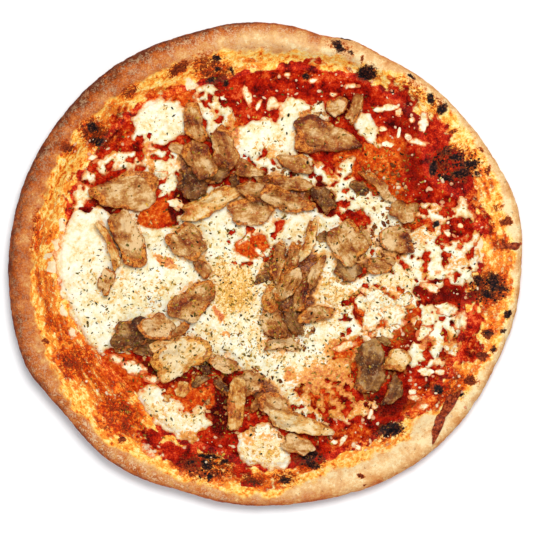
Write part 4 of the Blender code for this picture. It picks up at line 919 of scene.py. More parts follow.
# ---------------------------------------------------------------- meshes
def add_piece(name, points, faces, material, attributes, nodes=()):
    """One mesh object over the solids, with a number or a vector at each point."""
    points = np.array(points, dtype=np.float64)
    points[:, 0] -= MIDDLE[0]
    points[:, 1] -= MIDDLE[1]
    low = np.array(CAD_BOX[0]) + (BOX_MARGIN, BOX_MARGIN, 0.0)
    high = np.array(CAD_BOX[1]) - BOX_MARGIN
    points = np.clip(points, low, high)
    mesh = bpy.data.meshes.new(name)
    mesh.from_pydata(points.tolist(), [], faces if isinstance(faces, list) else faces.tolist())
    for key, values in attributes.items():
        values = np.asarray(values, dtype=np.float32)
        kind = "FLOAT_VECTOR" if values.ndim == 2 else "FLOAT"
        layer = mesh.attributes.new(key, kind, "POINT")
        layer.data.foreach_set("vector" if values.ndim == 2 else "value", values.ravel())
    mesh.shade_smooth()
    mesh.materials.append(material)
    thing = bpy.data.objects.new(name, mesh)
    bpy.context.scene.collection.objects.link(thing)
    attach(thing, "root")
    if nodes:
        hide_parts(*nodes)
    return thing


def ring_faces(rings, count):
    """Quads between rings of equal count, stacked in order."""
    ring, step = np.meshgrid(np.arange(rings - 1), np.arange(count), indexing="ij")
    here = ring * count + step
    beside = ring * count + (step + 1) % count
    return np.stack((here, beside, beside + count, here + count), axis=-1).reshape(-1, 4)


def smooth_through(values, samples):
    """A smooth run of samples through a short list of values, ends included."""
    values = np.array(values, dtype=float)
    knots = np.arange(len(values))
    slopes = np.gradient(values, axis=0)
    places = np.linspace(0, len(values) - 1, samples)
    before = np.minimum(places.astype(int), len(values) - 2)
    t = (places - knots[before])[:, None]
    start = values[before] * (1 + 2 * t) * (1 - t) ** 2 + slopes[before] * t * (1 - t) ** 2
    end = values[before + 1] * (3 - 2 * t) * t ** 2 + slopes[before + 1] * (t - 1) * t ** 2
    return start + end


# ---------------------------------------------------------------- node materials
def linear(hex_colour):
    """A colour written as six hexadecimal digits, as the linear values that nodes take."""
    channels = [int(hex_colour[i:i + 2], 16) / 255 for i in (0, 2, 4)]
    return tuple(c / 12.92 if c <= 0.04045 else ((c + 0.055) / 1.055) ** 2.4 for c in channels) + (1.0,)


class Look:
    """Builds one material's node tree with short calls."""

    def __init__(self, name):
        self.material = bpy.data.materials.new(name)
        self.material.use_nodes = True
        self.tree = self.material.node_tree
        self.shader = self.tree.nodes["Principled BSDF"]
        self.place = self.node("ShaderNodeTexCoord").outputs["Object"]

    def node(self, kind, **settings):
        node = self.tree.nodes.new(kind)
        for key, value in settings.items():
            setattr(node, key, value)
        return node

    def put(self, socket, value):
        """Links another node's output to a socket, or sets the socket's own value."""
        if isinstance(value, bpy.types.NodeSocket):
            self.tree.links.new(value, socket)
        else:
            socket.default_value = value

    def attribute(self, name, vector=False):
        node = self.node("ShaderNodeAttribute", attribute_name=name)
        return node.outputs["Vector" if vector else "Fac"]

    def noise(self, size, detail=2.0, roughness=0.5, place=None, distortion=0.0):
        """A noise between 0 and 1 whose bumps are about the given size in metres."""
        node = self.node("ShaderNodeTexNoise")
        self.put(node.inputs["Vector"], place or self.place)
        node.inputs["Scale"].default_value = 1 / size
        node.inputs["Detail"].default_value = detail
        node.inputs["Roughness"].default_value = roughness
        node.inputs["Distortion"].default_value = distortion
        return node.outputs["Fac"]

    def maths(self, operation, a, b=0.0):
        node = self.node("ShaderNodeMath", operation=operation)
        self.put(node.inputs[0], a)
        self.put(node.inputs[1], b)
        return node.outputs[0]

    def between(self, value, low, high):
        """0 below low and 1 above high, smoothly."""
        node = self.node("ShaderNodeMapRange", interpolation_type="SMOOTHSTEP")
        self.put(node.inputs["Value"], value)
        node.inputs["From Min"].default_value = low
        node.inputs["From Max"].default_value = high
        return node.outputs["Result"]

    def broken(self, mask, grain, amount, low=0.35, high=0.65):
        """A mask whose soft edge is broken up by a noise between 0 and 1."""
        return self.between(self.jitter(mask, grain, amount), low, high)

    def veins(self, size, width):
        """1 along thin winding lines about the given size apart, and 0 between them."""
        wave = self.noise(size, 3, 0.65, distortion=0.8)
        return self.between(self.maths("ABSOLUTE", self.maths("SUBTRACT", wave, 0.5)), width, 0.0)

    def mix(self, factor, a, b, blend="MIX"):
        node = self.node("ShaderNodeMix", data_type="RGBA", blend_type=blend)
        self.put(node.inputs["Factor"], factor)
        self.put(node.inputs["A"], a)
        self.put(node.inputs["B"], b)
        return node.outputs["Result"]

    def ramp(self, value, *stops):
        """A colour that runs through the stops: pairs of a position and a hexadecimal colour."""
        node = self.node("ShaderNodeValToRGB")
        elements = node.color_ramp.elements
        while len(elements) < len(stops):
            elements.new(0.5)
        for element, (position, colour) in zip(elements, sorted(stops)):
            element.position = position
            element.color = linear(colour)
        self.put(node.inputs["Fac"], value)
        return node.outputs["Color"]

    def jitter(self, value, grain, amount):
        """A value moved up and down by a noise between 0 and 1."""
        return self.maths("ADD", value, self.maths("MULTIPLY", self.maths("SUBTRACT", grain, 0.5), amount))

    def blend(self, factor, a, b):
        """One number or the other, or a share of each."""
        return self.maths("ADD", a, self.maths("MULTIPLY", factor, self.maths("SUBTRACT", b, a)))

    def bump(self, height, distance, strength=1.0):
        node = self.node("ShaderNodeBump")
        node.inputs["Strength"].default_value = strength
        node.inputs["Distance"].default_value = distance
        self.put(node.inputs["Height"], height)
        return node.outputs["Normal"]

    def finish(self, colour, roughness, normal=None, specular=0.5):
        self.put(self.shader.inputs["Base Color"], colour)
        self.put(self.shader.inputs["Roughness"], roughness)
        self.put(self.shader.inputs["Specular IOR Level"], specular)
        if normal is not None:
            self.put(self.shader.inputs["Normal"], normal)
        return self.material


def sauce_colour(look, fine, speck):
    """Deep red with pulp, orange oil, and dark cooked sauce with painted shade in the hollows beside the meat, for
    the sauce and its smears.
    """
    mottle = look.noise(7 * MM, 3, 0.6)
    pulp = look.noise(3.2 * MM, 4, 0.7)
    tone = look.jitter(look.jitter(pulp, mottle, 1.5), speck, 0.6)
    colour = look.ramp(tone, (0.14, "3c0301"), (0.34, "800901"), (0.5, "ae1603"), (0.66, "cc2e06"),
                       (0.86, "ec6a34"))
    orange = look.ramp(look.jitter(fine, pulp, 1.2), (0.2, "a01c02"), (0.42, "cc3a06"), (0.6, "e66416"),
                       (0.8, "fbaa50"))
    colour = look.mix(look.broken(look.attribute("orange"), pulp, 1.5, 0.25, 0.9), colour, orange)
    # Dark red-brown: cooked sauce, and painted shade in the hollows.
    dark = look.ramp(look.jitter(speck, pulp, 0.8), (0.3, "1c0201"), (0.55, "560802"), (0.75, "981002"))
    return look.mix(look.broken(look.attribute("dark"), pulp, 1.5, 0.35, 0.9), colour, dark)


def burnt_over(look, colour, fine):
    """Brown scorched crust and black charred spots over another colour."""
    patchy = look.noise(2.4 * MM, 4, 0.7)
    grain = look.noise(1.2 * MM, 3, 0.75)
    veins = look.veins(4.5 * MM, 0.07)
    mask = look.attribute("scorch")
    veined = look.maths("ADD", mask, look.maths("MULTIPLY", look.maths("MULTIPLY", mask, veins), 0.9))
    scorch = look.jitter(look.jitter(veined, patchy, 1.4), grain, 1.4)
    colour = look.mix(look.between(scorch, 0.25, 0.68), colour, linear("e69450"), blend="MULTIPLY")
    brown = look.ramp(look.jitter(grain, patchy, 0.5), (0.3, "2e0c06"), (0.5, "6a2410"), (0.7, "a0461a"))
    colour = look.mix(look.between(scorch, 0.66, 0.78), colour, brown)
    charred = look.jitter(look.jitter(look.attribute("char"), patchy, 0.9), grain, 1.0)
    black = look.ramp(look.jitter(grain, fine, 1.0), (0.34, "05060c"), (0.5, "1a1214"), (0.62, "481e14"),
                      (0.76, "a06038"))
    colour = look.mix(look.maths("MULTIPLY", look.between(charred, 0.26, 0.48), 0.75), colour, linear("6e3214"))
    return look.mix(look.between(charred, 0.44, 0.62), colour, black)


def bare_dough(look, fine, clumps, speck):
    """Dry baked dough from cream to dark brown, with peach blotches, flour and freckles."""
    mottle = look.noise(9 * MM, 3, 0.6)
    grit = look.noise(0.9 * MM, 2, 0.8)
    brownness = look.attribute("toast")
    uneven = look.jitter(look.jitter(look.jitter(look.jitter(0.0, mottle, 1.5), clumps, 1.6), fine, 0.8), grit, 0.8)
    strength = look.maths("ADD", 0.36, look.maths("MULTIPLY", brownness, 0.72))
    toast = look.maths("ADD", brownness, look.maths("MULTIPLY", uneven, strength))
    bare = look.ramp(look.maths("MULTIPLY", toast, 0.7), (0.0, "f4dca8"), (0.12, "eabb7e"), (0.28, "d69858"),
                     (0.46, "c86e30"), (0.66, "aa4a16"), (0.95, "662408"))
    blotch = look.between(look.jitter(look.noise(5 * MM, 3, 0.6), fine, 0.5), 0.52, 0.66)
    blotch = look.maths("MULTIPLY", blotch, look.maths("ADD", 0.14, look.maths("MULTIPLY", brownness, 0.26)))
    bare = look.mix(blotch, bare, linear("c87a44"))
    burnt = look.between(look.jitter(look.noise(5.5 * MM, 4, 0.7), grit, 0.7), 0.5, 0.64)
    burnt = look.maths("MULTIPLY", burnt, look.between(brownness, 0.5, 1.2))
    bare = look.mix(look.maths("MULTIPLY", burnt, 0.65), bare, linear("6a2c0c"))
    flour = look.maths("MULTIPLY", look.attribute("flour"), look.between(look.jitter(speck, clumps, 1.3), 0.42, 0.75))
    bare = look.mix(look.maths("MULTIPLY", flour, 0.6), bare, linear("e4bc8e"))
    freckle = look.between(look.jitter(look.noise(2.6 * MM, 2, 0.5), speck, 0.3), 0.66, 0.73)
    return look.mix(look.maths("MULTIPLY", freckle, 0.5), bare, linear("904a1a"))


def golden_dough(look, streak, clumps, fine, speck):
    """Oily golden dough with orange and red streaks and brown grains."""
    tone = look.jitter(look.jitter(look.jitter(streak, clumps, 1.3), fine, 0.5), speck, 0.2)
    tone = look.jitter(look.jitter(tone, streak, 0.5), look.attribute("streaky"), 0.08)
    gold = look.ramp(tone, (0.2, "ffe9a0"), (0.4, "ffd46c"), (0.55, "fdb446"), (0.68, "f48622"),
                     (0.82, "d44c0c"), (0.96, "8c2a06"))
    dots = look.between(look.jitter(look.noise(1.8 * MM, 2, 0.5), speck, 0.5), 0.64, 0.72)
    gold = look.mix(look.maths("MULTIPLY", dots, 0.55), gold, linear("a8480e"))
    grains = look.between(look.jitter(look.noise(2.4 * MM, 4, 0.75), speck, 0.4), 0.56, 0.64)
    veins = look.veins(5 * MM, 0.08)
    stained = look.attribute("stain")
    stain = look.jitter(look.jitter(look.jitter(stained, streak, 1.3), clumps, 1.0), fine, 0.6)
    orange = look.ramp(look.jitter(look.jitter(streak, clumps, 1.3), fine, 0.9), (0.2, "981e02"), (0.38, "d84206"),
                       (0.56, "f46e14"), (0.74, "ffa840"))
    colour = look.mix(look.between(stain, 0.38, 0.82), gold, orange)
    dark_veins = look.maths("MULTIPLY", veins, look.between(look.jitter(stained, clumps, 0.8), 0.5, 1.0))
    colour = look.mix(look.maths("MULTIPLY", dark_veins, 0.8), colour, linear("8c2408"))
    grains = look.maths("MULTIPLY", grains, look.between(look.jitter(stained, clumps, 0.9), 0.55, 1.1))
    return look.mix(look.maths("MULTIPLY", grains, 0.75), colour, linear("76200a"))


def crust_look():
    """Baked dough: cream to brown, floury, stained gold and orange by oil, charred in places."""
    look = Look("baked_dough")
    fine = look.noise(1.6 * MM, 4, 0.7)
    clumps = look.noise(3.4 * MM, 4, 0.65)
    speck = look.noise(0.8 * MM, 2, 0.6)
    drawn = look.noise(1.0, 3, 0.65, place=look.attribute("rim", vector=True), distortion=1.2)
    loose = look.noise(2.6 * MM, 4, 0.7)
    streak = look.blend(look.attribute("streaky"), loose, drawn)
    oily = look.broken(look.attribute("gold"), clumps, 0.9, 0.2, 0.8)
    colour = look.mix(oily, bare_dough(look, fine, clumps, speck), golden_dough(look, streak, clumps, fine, speck))
    wet = look.broken(look.attribute("red"), clumps, 1.1)
    colour = look.mix(wet, colour, sauce_colour(look, fine, speck))
    creamy = look.ramp(clumps, (0.35, "fbf0d4"), (0.6, "eed6a8"))
    colour = look.mix(look.broken(look.attribute("melt"), clumps, 1.3), colour, creamy)
    colour = burnt_over(look, colour, fine)
    base = look.mix(look.between(look.noise(9 * MM, 4, 0.6), 0.56, 0.68), linear("d9b07c"), linear("5a3218"))
    colour = look.mix(look.attribute("under"), colour, base)
    shine = look.maths("MULTIPLY", look.maths("MAXIMUM", wet, look.maths("MULTIPLY", oily, 0.6)), -0.4)
    roughness = look.maths("ADD", look.maths("ADD", 0.74, shine), look.maths("MULTIPLY", speck, 0.1))
    normal = look.bump(look.jitter(look.jitter(fine, speck, 0.5), streak, 0.5), 0.6 * MM, 0.75)
    return look.finish(colour, roughness, normal, specular=0.08)


def sauce_look():
    """Cooked tomato sauce: wet, pulpy, deep red with orange oil."""
    look = Look("tomato_sauce")
    fine = look.noise(1.8 * MM, 4, 0.7)
    speck = look.noise(0.9 * MM, 2, 0.6)
    lumps = look.noise(4 * MM, 3, 0.6)
    colour = burnt_over(look, sauce_colour(look, fine, speck), fine)
    roughness = look.maths("ADD", 0.1, look.maths("MULTIPLY", speck, 0.25))
    normal = look.bump(look.jitter(fine, lumps, 1.2), 1.5 * MM, 1.0)
    return look.finish(colour, roughness, normal, specular=0.06)


def cheese_look():
    """Melted cheese: creamy, golden in spots, red with oil where thin, brown with meat juice and painted shade round
    and between the slices.
    """
    look = Look("melted_cheese")
    soft = look.noise(5 * MM, 3, 0.6)
    fine = look.noise(1.8 * MM, 4, 0.65)
    speck = look.noise(0.8 * MM, 2, 0.6)
    broad = look.noise(14 * MM, 3, 0.6)
    tone = look.jitter(look.jitter(soft, fine, 0.7), broad, 0.4)
    colour = look.ramp(tone, (0.26, "f4f3e2"), (0.46, "f0ebcc"), (0.62, "ead8a0"), (0.8, "d8a44c"))
    golden = look.attribute("yellow")
    golden_shade = look.ramp(look.jitter(speck, fine, 0.8), (0.3, "dc9c38"), (0.5, "f0c874"), (0.7, "fae8b4"))
    colour = look.mix(look.broken(golden, fine, 1.4, 0.35, 0.95), colour, golden_shade)
    spots = look.jitter(look.jitter(look.noise(1.9 * MM, 3, 0.6), broad, 0.6), golden, 0.24)
    spot_shade = look.ramp(speck, (0.36, "b0640e"), (0.56, "e8ac34"))
    colour = look.mix(look.maths("MULTIPLY", look.between(spots, 0.56, 0.62), 0.9), colour, spot_shade)
    thin = look.jitter(look.jitter(look.attribute("thin"), fine, 0.9), soft, 0.7)
    colour = look.mix(look.between(thin, 0.4, 0.95), colour, look.ramp(fine, (0.35, "f4d6a0"), (0.65, "e8a050")))
    colour = look.mix(look.between(thin, 0.85, 1.2), colour, linear("d86a30"))
    orange = look.jitter(look.attribute("orange"), fine, 1.5)
    colour = look.mix(look.between(orange, 0.3, 0.65), colour, linear("eaa242"))
    stained = look.ramp(look.jitter(speck, soft, 0.8), (0.25, "9c2c08"), (0.48, "c8541a"), (0.75, "ec9440"))
    colour = look.mix(look.between(orange, 0.55, 1.0), colour, stained)
    # Meat juice with painted shade: orange-brown in a halo round every slice, dark brown in the cluster gaps.
    juice_and_shade = look.jitter(look.jitter(look.attribute("juice_and_shade"), fine, 1.0), broad, 1.0)
    colour = look.mix(look.between(juice_and_shade, 0.4, 0.85), colour, linear("e8a44c"))
    brown = look.ramp(look.jitter(speck, fine, 1.0), (0.28, "421806"), (0.5, "884010"), (0.75, "c87c30"))
    colour = look.mix(look.between(juice_and_shade, 0.8, 1.1), colour, brown)
    char = look.broken(look.attribute("char"), fine, 0.9, 0.35, 0.6)
    colour = look.mix(char, colour, linear("1c1210"))
    roughness = look.maths("ADD", 0.18, look.maths("MULTIPLY", fine, 0.35))
    normal = look.bump(look.jitter(fine, soft, 1.0), 0.9 * MM, 0.65)
    look.shader.inputs["Subsurface Weight"].default_value = 0.08
    look.shader.inputs["Subsurface Radius"].default_value = (1.0, 0.85, 0.6)
    look.shader.inputs["Subsurface Scale"].default_value = 1.0 * MM
    return look.finish(colour, roughness, normal, specular=0.35)


# From the middle of a slice to its crisp edge.
MEAT_COLOURS = {
    "tan": ("eec68e", "cd924a", "aa6123", "76340d", "411604"),
    "pale": ("fae0ae", "eebe70", "d68a34", "a25012", "5c280a"),
    "dark": ("bc8a4c", "925c26", "6a3a12", "441e08", "260e04"),
}
# The crisp rind along a slice's edge, from its burnt to its lightest parts.
RIND_COLOURS = {
    "tan": ("742e06", "c05a10", "ec9a3c"),
    "pale": ("94480c", "d4781e", "f4b450"),
    "dark": ("441804", "90400a", "c47226"),
}


def meat_look(tone):
    """Grilled sliced chicken: oily, a little fibrous, glazed orange-brown along its edges, pale-flecked with painted
    glints.
    """
    look = Look("grilled_chicken_" + tone)
    fibre = look.noise(1.0, 3, 0.6, place=look.attribute("grain", vector=True))
    fine = look.noise(1.4 * MM, 4, 0.75)
    clumps = look.noise(3.0 * MM, 4, 0.7)
    cloud = look.noise(7 * MM, 3, 0.6)
    speck = look.noise(0.9 * MM, 2, 0.5)
    browned = look.jitter(look.jitter(look.attribute("browned"), cloud, 1.3), clumps, 1.0)
    browned = look.jitter(look.jitter(browned, fine, 0.9), fibre, 0.5)
    light, shade, edge, dark, crisp = MEAT_COLOURS[tone]
    colour = look.ramp(browned, (0.0, light), (0.22, shade), (0.48, edge), (0.74, dark), (1.0, crisp))
    glaze = look.jitter(look.jitter(look.noise(4 * MM, 3, 0.6), look.attribute("browned"), 0.5), fine, 0.4)
    colour = look.mix(look.maths("MULTIPLY", look.between(glaze, 0.48, 0.62), 0.75), colour, linear("ec9a44"),
                      blend="MULTIPLY")
    milky = look.between(look.jitter(look.noise(6 * MM, 2, 0.5), fine, 0.5), 0.52, 0.68)
    milky = look.maths("MULTIPLY", milky, look.between(browned, 0.5, 0.1))
    colour = look.mix(look.maths("MULTIPLY", milky, 0.35), colour, linear("ead0a4"))
    # Pale flecks: painted glints for the oily sparkle, and light mottling.
    pale = look.between(look.jitter(speck, look.noise(2.2 * MM, 2, 0.5), 0.5), 0.62, 0.7)
    colour = look.mix(look.maths("MULTIPLY", pale, 0.3), colour, linear("f4d090"))
    rind = look.jitter(look.jitter(look.attribute("rind"), clumps, 1.1), fine, 0.8)
    burnt, glazed, lit = RIND_COLOURS[tone]
    glaze_tone = look.jitter(look.jitter(look.noise(2.6 * MM, 3, 0.6), fine, 0.8), speck, 0.4)
    crust = look.ramp(glaze_tone, (0.34, burnt), (0.47, glazed), (0.62, lit))
    colour = look.mix(look.maths("MULTIPLY", look.between(rind, 0.3, 0.65), 0.9), colour, crust)
    colour = look.mix(look.maths("MULTIPLY", look.between(rind, 1.15, 1.5), 0.8), colour, linear(crisp))
    roughness = look.maths("ADD", 0.1, look.maths("MULTIPLY", fine, 0.35))
    height = look.jitter(look.jitter(fine, fibre, 0.6), clumps, 0.9)
    normal = look.bump(height, 1.1 * MM, 0.9)
    return look.finish(colour, roughness, normal, specular=0.27)


def tinted_look(name, roughness, size):
    """Small dry things that carry their own tint at each point."""
    look = Look(name)
    fine = look.noise(size, 2, 0.6)
    tint = look.attribute("tint", vector=True)
    shade = look.mix(look.between(fine, 0.3, 0.7), tint, (0.5, 0.5, 0.5, 1.0), blend="MULTIPLY")
    colour = look.mix(0.5, tint, shade)
    return look.finish(colour, look.maths("ADD", roughness, look.maths("MULTIPLY", fine, 0.15)), specular=0.12)


def burnt_look():
    """A dried strip of sauce, burnt dark red-brown."""
    look = Look("burnt_strip")
    fine = look.noise(1.8 * MM, 4, 0.7)
    colour = look.ramp(fine, (0.35, "380c04"), (0.5, "8a2c0c"), (0.66, "c46030"))
    normal = look.bump(fine, 0.8 * MM, 0.7)
    return look.finish(colour, look.maths("ADD", 0.3, look.maths("MULTIPLY", fine, 0.35)), normal, specular=0.16)


def floor_look():
    look = Look("pale_floor")
    fine = look.noise(30 * MM, 2, 0.5)
    return look.finish(look.mix(fine, linear("f9fafc"), linear("fdfdfd")), 0.9, specular=0.1)


# ---------------------------------------------------------------- dough
def slope_height(angle, radius):
    """Height of the dough's smooth top between its crest and its middle."""
    crest = outline_radius(angle) * VIEW_PIXEL - crest_inset(angle) * MM
    foot = foot_radius(angle) * VIEW_PIXEL
    share = np.clip((crest - radius) / (crest - foot), 0, 1)
    fall = (0.5 + 0.5 * np.cos(np.pi * share)) ** SLOPE_FULLNESS
    return BASE_THICKNESS + (crest_height(angle) * MM - BASE_THICKNESS) * fall


def crust_bumps(x, y, height):
    """Blisters and coarse unevenness on the slope of the rim, as on the solid."""
    angle = np.degrees(np.arctan2(y, x))
    radius = np.hypot(x, y)
    foot = foot_radius(angle) * VIEW_PIXEL
    on_slope = smooth_step((radius - foot) / RELIEF_FADE) * smooth_step((height - RELIEF_START) / RELIEF_FADE)
    return on_slope * (dome(x, y, BLISTERS) + CRUST_RELIEF * relief(x, y, CRUST_RELIEF_WAVE))


def crust_rings():
    """Angle, radius and height of the dough's fine rings, from the underside over the rim."""
    angles = np.arange(CRUST_SEGMENTS) * 360 / CRUST_SEGMENTS
    edge = outline_radius(angles) * VIEW_PIXEL - OUTLINE_MARGIN
    foot = foot_radius(angles) * VIEW_PIXEL
    inset = crest_inset(angles) * MM
    top = crest_height(angles) * MM
    crest = edge - inset
    radii = [foot * share for share in reversed(FLAT_RING_SHARES)]
    heights = [np.zeros(CRUST_SEGMENTS) for _ in FLAT_RING_SHARES]
    for inward, upward in smooth_through(OUTER_SIDE, OUTER_SIDE_RINGS):
        radii.append(edge - inset * inward)
        heights.append(top * max(upward, 0.0))
    for step in range(1, INNER_SLOPE_RINGS + 1):
        radius = crest + (foot - crest) * step / INNER_SLOPE_RINGS
        radii.append(radius)
        heights.append(slope_height(angles, radius))
    for share in FLAT_RING_SHARES:
        radii.append(foot * share)
        heights.append(np.full(CRUST_SEGMENTS, BASE_THICKNESS))
    return angles, np.array(radii), np.array(heights)


def surface_normals(x, y, z):
    """Outward normals of a surface made of closed rings."""
    grid = np.stack((x, y, z), axis=-1)
    around = np.roll(grid, -1, axis=1) - np.roll(grid, 1, axis=1)
    up = np.gradient(grid, axis=0)
    normal = np.cross(around, up)
    length = np.linalg.norm(normal, axis=-1, keepdims=True)
    return normal / np.maximum(length, 1e-12)


def build_crust():
    """The dough, with wrinkles, blisters, pores and the stains of the oven."""
    angles, radius, height = crust_rings()
    angle = np.broadcast_to(angles, radius.shape)
    x = radius * np.cos(np.radians(angle))
    y = radius * np.sin(np.radians(angle))
    z = height + crust_bumps(x, y, height)
    normal = surface_normals(x, y, z)
    view_x, view_y = view_place(x, y)
    view_radius = np.hypot(x, y) / VIEW_PIXEL
    ring = np.arange(len(radius))[:, None]
    crest_ring = len(FLAT_RING_SHARES) + OUTER_SIDE_RINGS
    outer = ring < crest_ring
    under = np.broadcast_to(ring < len(FLAT_RING_SHARES) + 2, radius.shape)

    gold_ragged = 4.0 * rough_relief(view_x, view_y, 18.0, 41.0, 3)
    gold = smooth_step((gold_outer(angle) - view_radius + gold_ragged) / 13 + 0.5)
    top = crest_height(angle) * MM
    gold = gold * np.where(outer, smooth_step((height / top - 0.75) / 0.15), 1.0)
    streaky = streaks(angle, view_radius, 22.0, 4.0, 43.0)
    stain = spot_mask(view_x, view_y, STAIN_SPOTS, 0.6, 4.0, 11.0)
    stain = gold * np.clip(stain + 0.25 * streaky * (0.4 + stain), 0, 1)
    sauced = smooth_step((gold_inner(angle) - view_radius + 5 * relief(view_x, view_y, 14.0, 47.0)) / 6)
    red = np.maximum(sauced, spot_mask(view_x, view_y, SMEAR_SPOTS, 0.5, 4.0, 9.0)) * gold
    melt = spot_mask(view_x, view_y, MELT_SPOTS, 0.5, 3.0, 8.0) * gold
    scorch = spot_mask(view_x, view_y, SCORCHED_SPOTS, 0.55, 1.6, 7.0)
    char = spot_mask(view_x, view_y, CHAR_SPOTS, 0.7, 1.1, 5.0)

    low_side = np.where(outer, smooth_step((top - height) / (0.9 * top)), 0.0)
    edge_band = smooth_step(1 - (outline_radius(angle) - view_radius) / (11 + 13 * brown_depth(angle)))
    inner_share = brown_depth(angle)
    toast = toasted(angle) * (inner_share * 0.66 + (1.1 - inner_share * 0.62) * edge_band + 0.2 * low_side)
    toast = toast + 0.4 * low_side + 0.12 * relief(view_x, view_y, 16.0, 51.0)
    from_edge = smooth_step((outline_radius(angle) - view_radius - 1.5) / 5)
    flour = floury(angle) * smooth_step((height / top - 0.6) / 0.3) * (1 - gold) * from_edge

    wrinkle = streaks(angle, view_radius, 14.0, 3.2, 61.0) + 0.5 * relief(view_x, view_y, 4.0, 62.0)
    lumps = rough_relief(x, y, 6 * MM, 63.0, 3)
    pits = np.minimum(relief(x, y, 2.2 * MM, 64.0), 0.0)
    side = smooth_step((height - 0.5 * MM) / (3 * MM))
    push = side * (0.22 * MM * lumps + 0.25 * MM * pits)
    push += gold * 0.16 * MM * wrinkle
    push += char * (0.3 * MM + 0.45 * MM * relief(x, y, 2.0 * MM, 65.0))
    push += 0.35 * MM * red * side
    inside = smooth_step((view_radius - foot_radius(angle) + 6) / 6)
    push = push * inside
    x = x + normal[..., 0] * push
    y = y + normal[..., 1] * push
    z = np.maximum(z + normal[..., 2] * push, 0.0)

    rings, count = radius.shape
    points = np.stack((x, y, z), axis=-1).reshape(-1, 3)
    poles = np.array(((0, 0, 0), (0, 0, BASE_THICKNESS)), dtype=float)
    faces = ring_faces(rings, count).tolist()
    low_pole = len(points)
    last = (rings - 1) * count
    for i in range(count):
        j = (i + 1) % count
        faces.append([low_pole, j, i])
        faces.append([low_pole + 1, last + i, last + j])
    attributes = {}
    layers = {"gold": gold, "stain": stain, "red": red, "melt": melt, "scorch": scorch, "char": char,
              "toast": toast, "flour": flour, "under": under, "streaky": streaky_rim(angle),
              "orange": spot_mask(view_x, view_y, SAUCE_ORANGE_SPOTS, 0.4, 4.0, 12.0),
              # dark: cooked sauce and painted shade, for the smears on the rim.
              "dark": spot_mask(view_x, view_y, SAUCE_DARK_AND_SHADE_SPOTS, 0.5, 4.0, 12.0)}
    turn = np.radians(angle)
    rim = np.stack((RIM_REACH / RIM_GRAIN[0] * np.cos(turn), RIM_REACH / RIM_GRAIN[0] * np.sin(turn),
                    view_radius / RIM_GRAIN[1]), axis=-1).reshape(-1, 3)
    attributes["rim"] = np.concatenate((rim, rim[:1], rim[-1:]))
    for key, values in layers.items():
        values = np.broadcast_to(values, radius.shape).astype(float).ravel()
        attributes[key] = np.concatenate((values, (values[0], values[-1])))
    return add_piece("dough", np.concatenate((points, poles)), faces, crust_look(), attributes, ["crust"])


# ---------------------------------------------------------------- sheets on a fine lattice
def lattice(step, reach):
    """Points and triangles of an even triangular lattice over a square of half side reach."""
    rows = math.ceil(reach / (step * math.sqrt(0.75)))
    columns = math.ceil(reach / step) + 1
    row, column = np.meshgrid(np.arange(-rows, rows + 1), np.arange(-columns, columns + 1), indexing="ij")
    x = step * (column + 0.5 * (row % 2))
    y = step * math.sqrt(0.75) * row
    width = 2 * columns + 1
    here = ((row + rows) * width + column + columns)[:-1, :-1]
    odd = (row % 2)[:-1, :-1].astype(bool)
    above = here + width
    first = np.where(odd[..., None], np.stack((here, here + 1, above + 1), -1), np.stack((here, here + 1, above), -1))
    second = np.where(odd[..., None], np.stack((here, above + 1, above), -1),
                      np.stack((here + 1, above + 1, above), -1))
    return x.ravel(), y.ravel(), np.concatenate((first.reshape(-1, 3), second.reshape(-1, 3)))


def edge_pairs(triangles):
    """The directed edges that only one triangle has."""
    a = triangles[:, [0, 1, 2]].ravel()
    b = triangles[:, [1, 2, 0]].ravel()
    size = int(triangles.max()) + 1
    forward = a.astype(np.int64) * size + b
    backward = b.astype(np.int64) * size + a
    alone = ~np.isin(forward, backward)
    return np.stack((a[alone], b[alone]), axis=-1)


def fine_sheet(field, step, reach, unit):
    """Plan points and triangles of the region where the field is positive, edge drawn onto zero.

    The unit is the distance in metres over which the field changes by one.
    """
    x, y, triangles = lattice(step, reach)
    values = field(x, y)
    triangles = triangles[(values[triangles] > 0).all(axis=1)]
    used, triangles = np.unique(triangles, return_inverse=True)
    triangles = triangles.reshape(-1, 3)
    x, y, values = x[used], y[used], values[used]
    rim = np.unique(edge_pairs(triangles))
    probe = 0.2 * step
    slope_x = (field(x[rim] + probe, y[rim]) - field(x[rim] - probe, y[rim])) / (2 * probe)
    slope_y = (field(x[rim], y[rim] + probe) - field(x[rim], y[rim] - probe)) / (2 * probe)
    steepness = np.maximum(slope_x ** 2 + slope_y ** 2, (0.3 / unit) ** 2)
    move_x = -values[rim] * slope_x / steepness
    move_y = -values[rim] * slope_y / steepness
    length = np.maximum(np.hypot(move_x, move_y), 1e-12)
    limit = np.minimum(1.0, 0.8 * step / length)
    x[rim] += move_x * limit
    y[rim] += move_y * limit
    return x, y, triangles, rim


def sheet_solid(x, y, top, bottom, triangles):
    """Points and faces of a closed sheet between two heights."""
    count = len(x)
    points = np.concatenate((np.stack((x, y, top), -1), np.stack((x, y, bottom), -1)))
    a, b = edge_pairs(triangles).T
    walls = np.concatenate((np.stack((b, a, a + count), -1), np.stack((b, a + count, b + count), -1)))
    return points, np.concatenate((triangles, triangles[:, ::-1] + count, walls))


def sauce_field(x, y):
    """Metres inside the edge of the sauce."""
    angle = np.degrees(np.arctan2(y, x))
    return foot_radius(angle) * VIEW_PIXEL - SAUCE_EDGE_MARGIN - np.hypot(x, y)


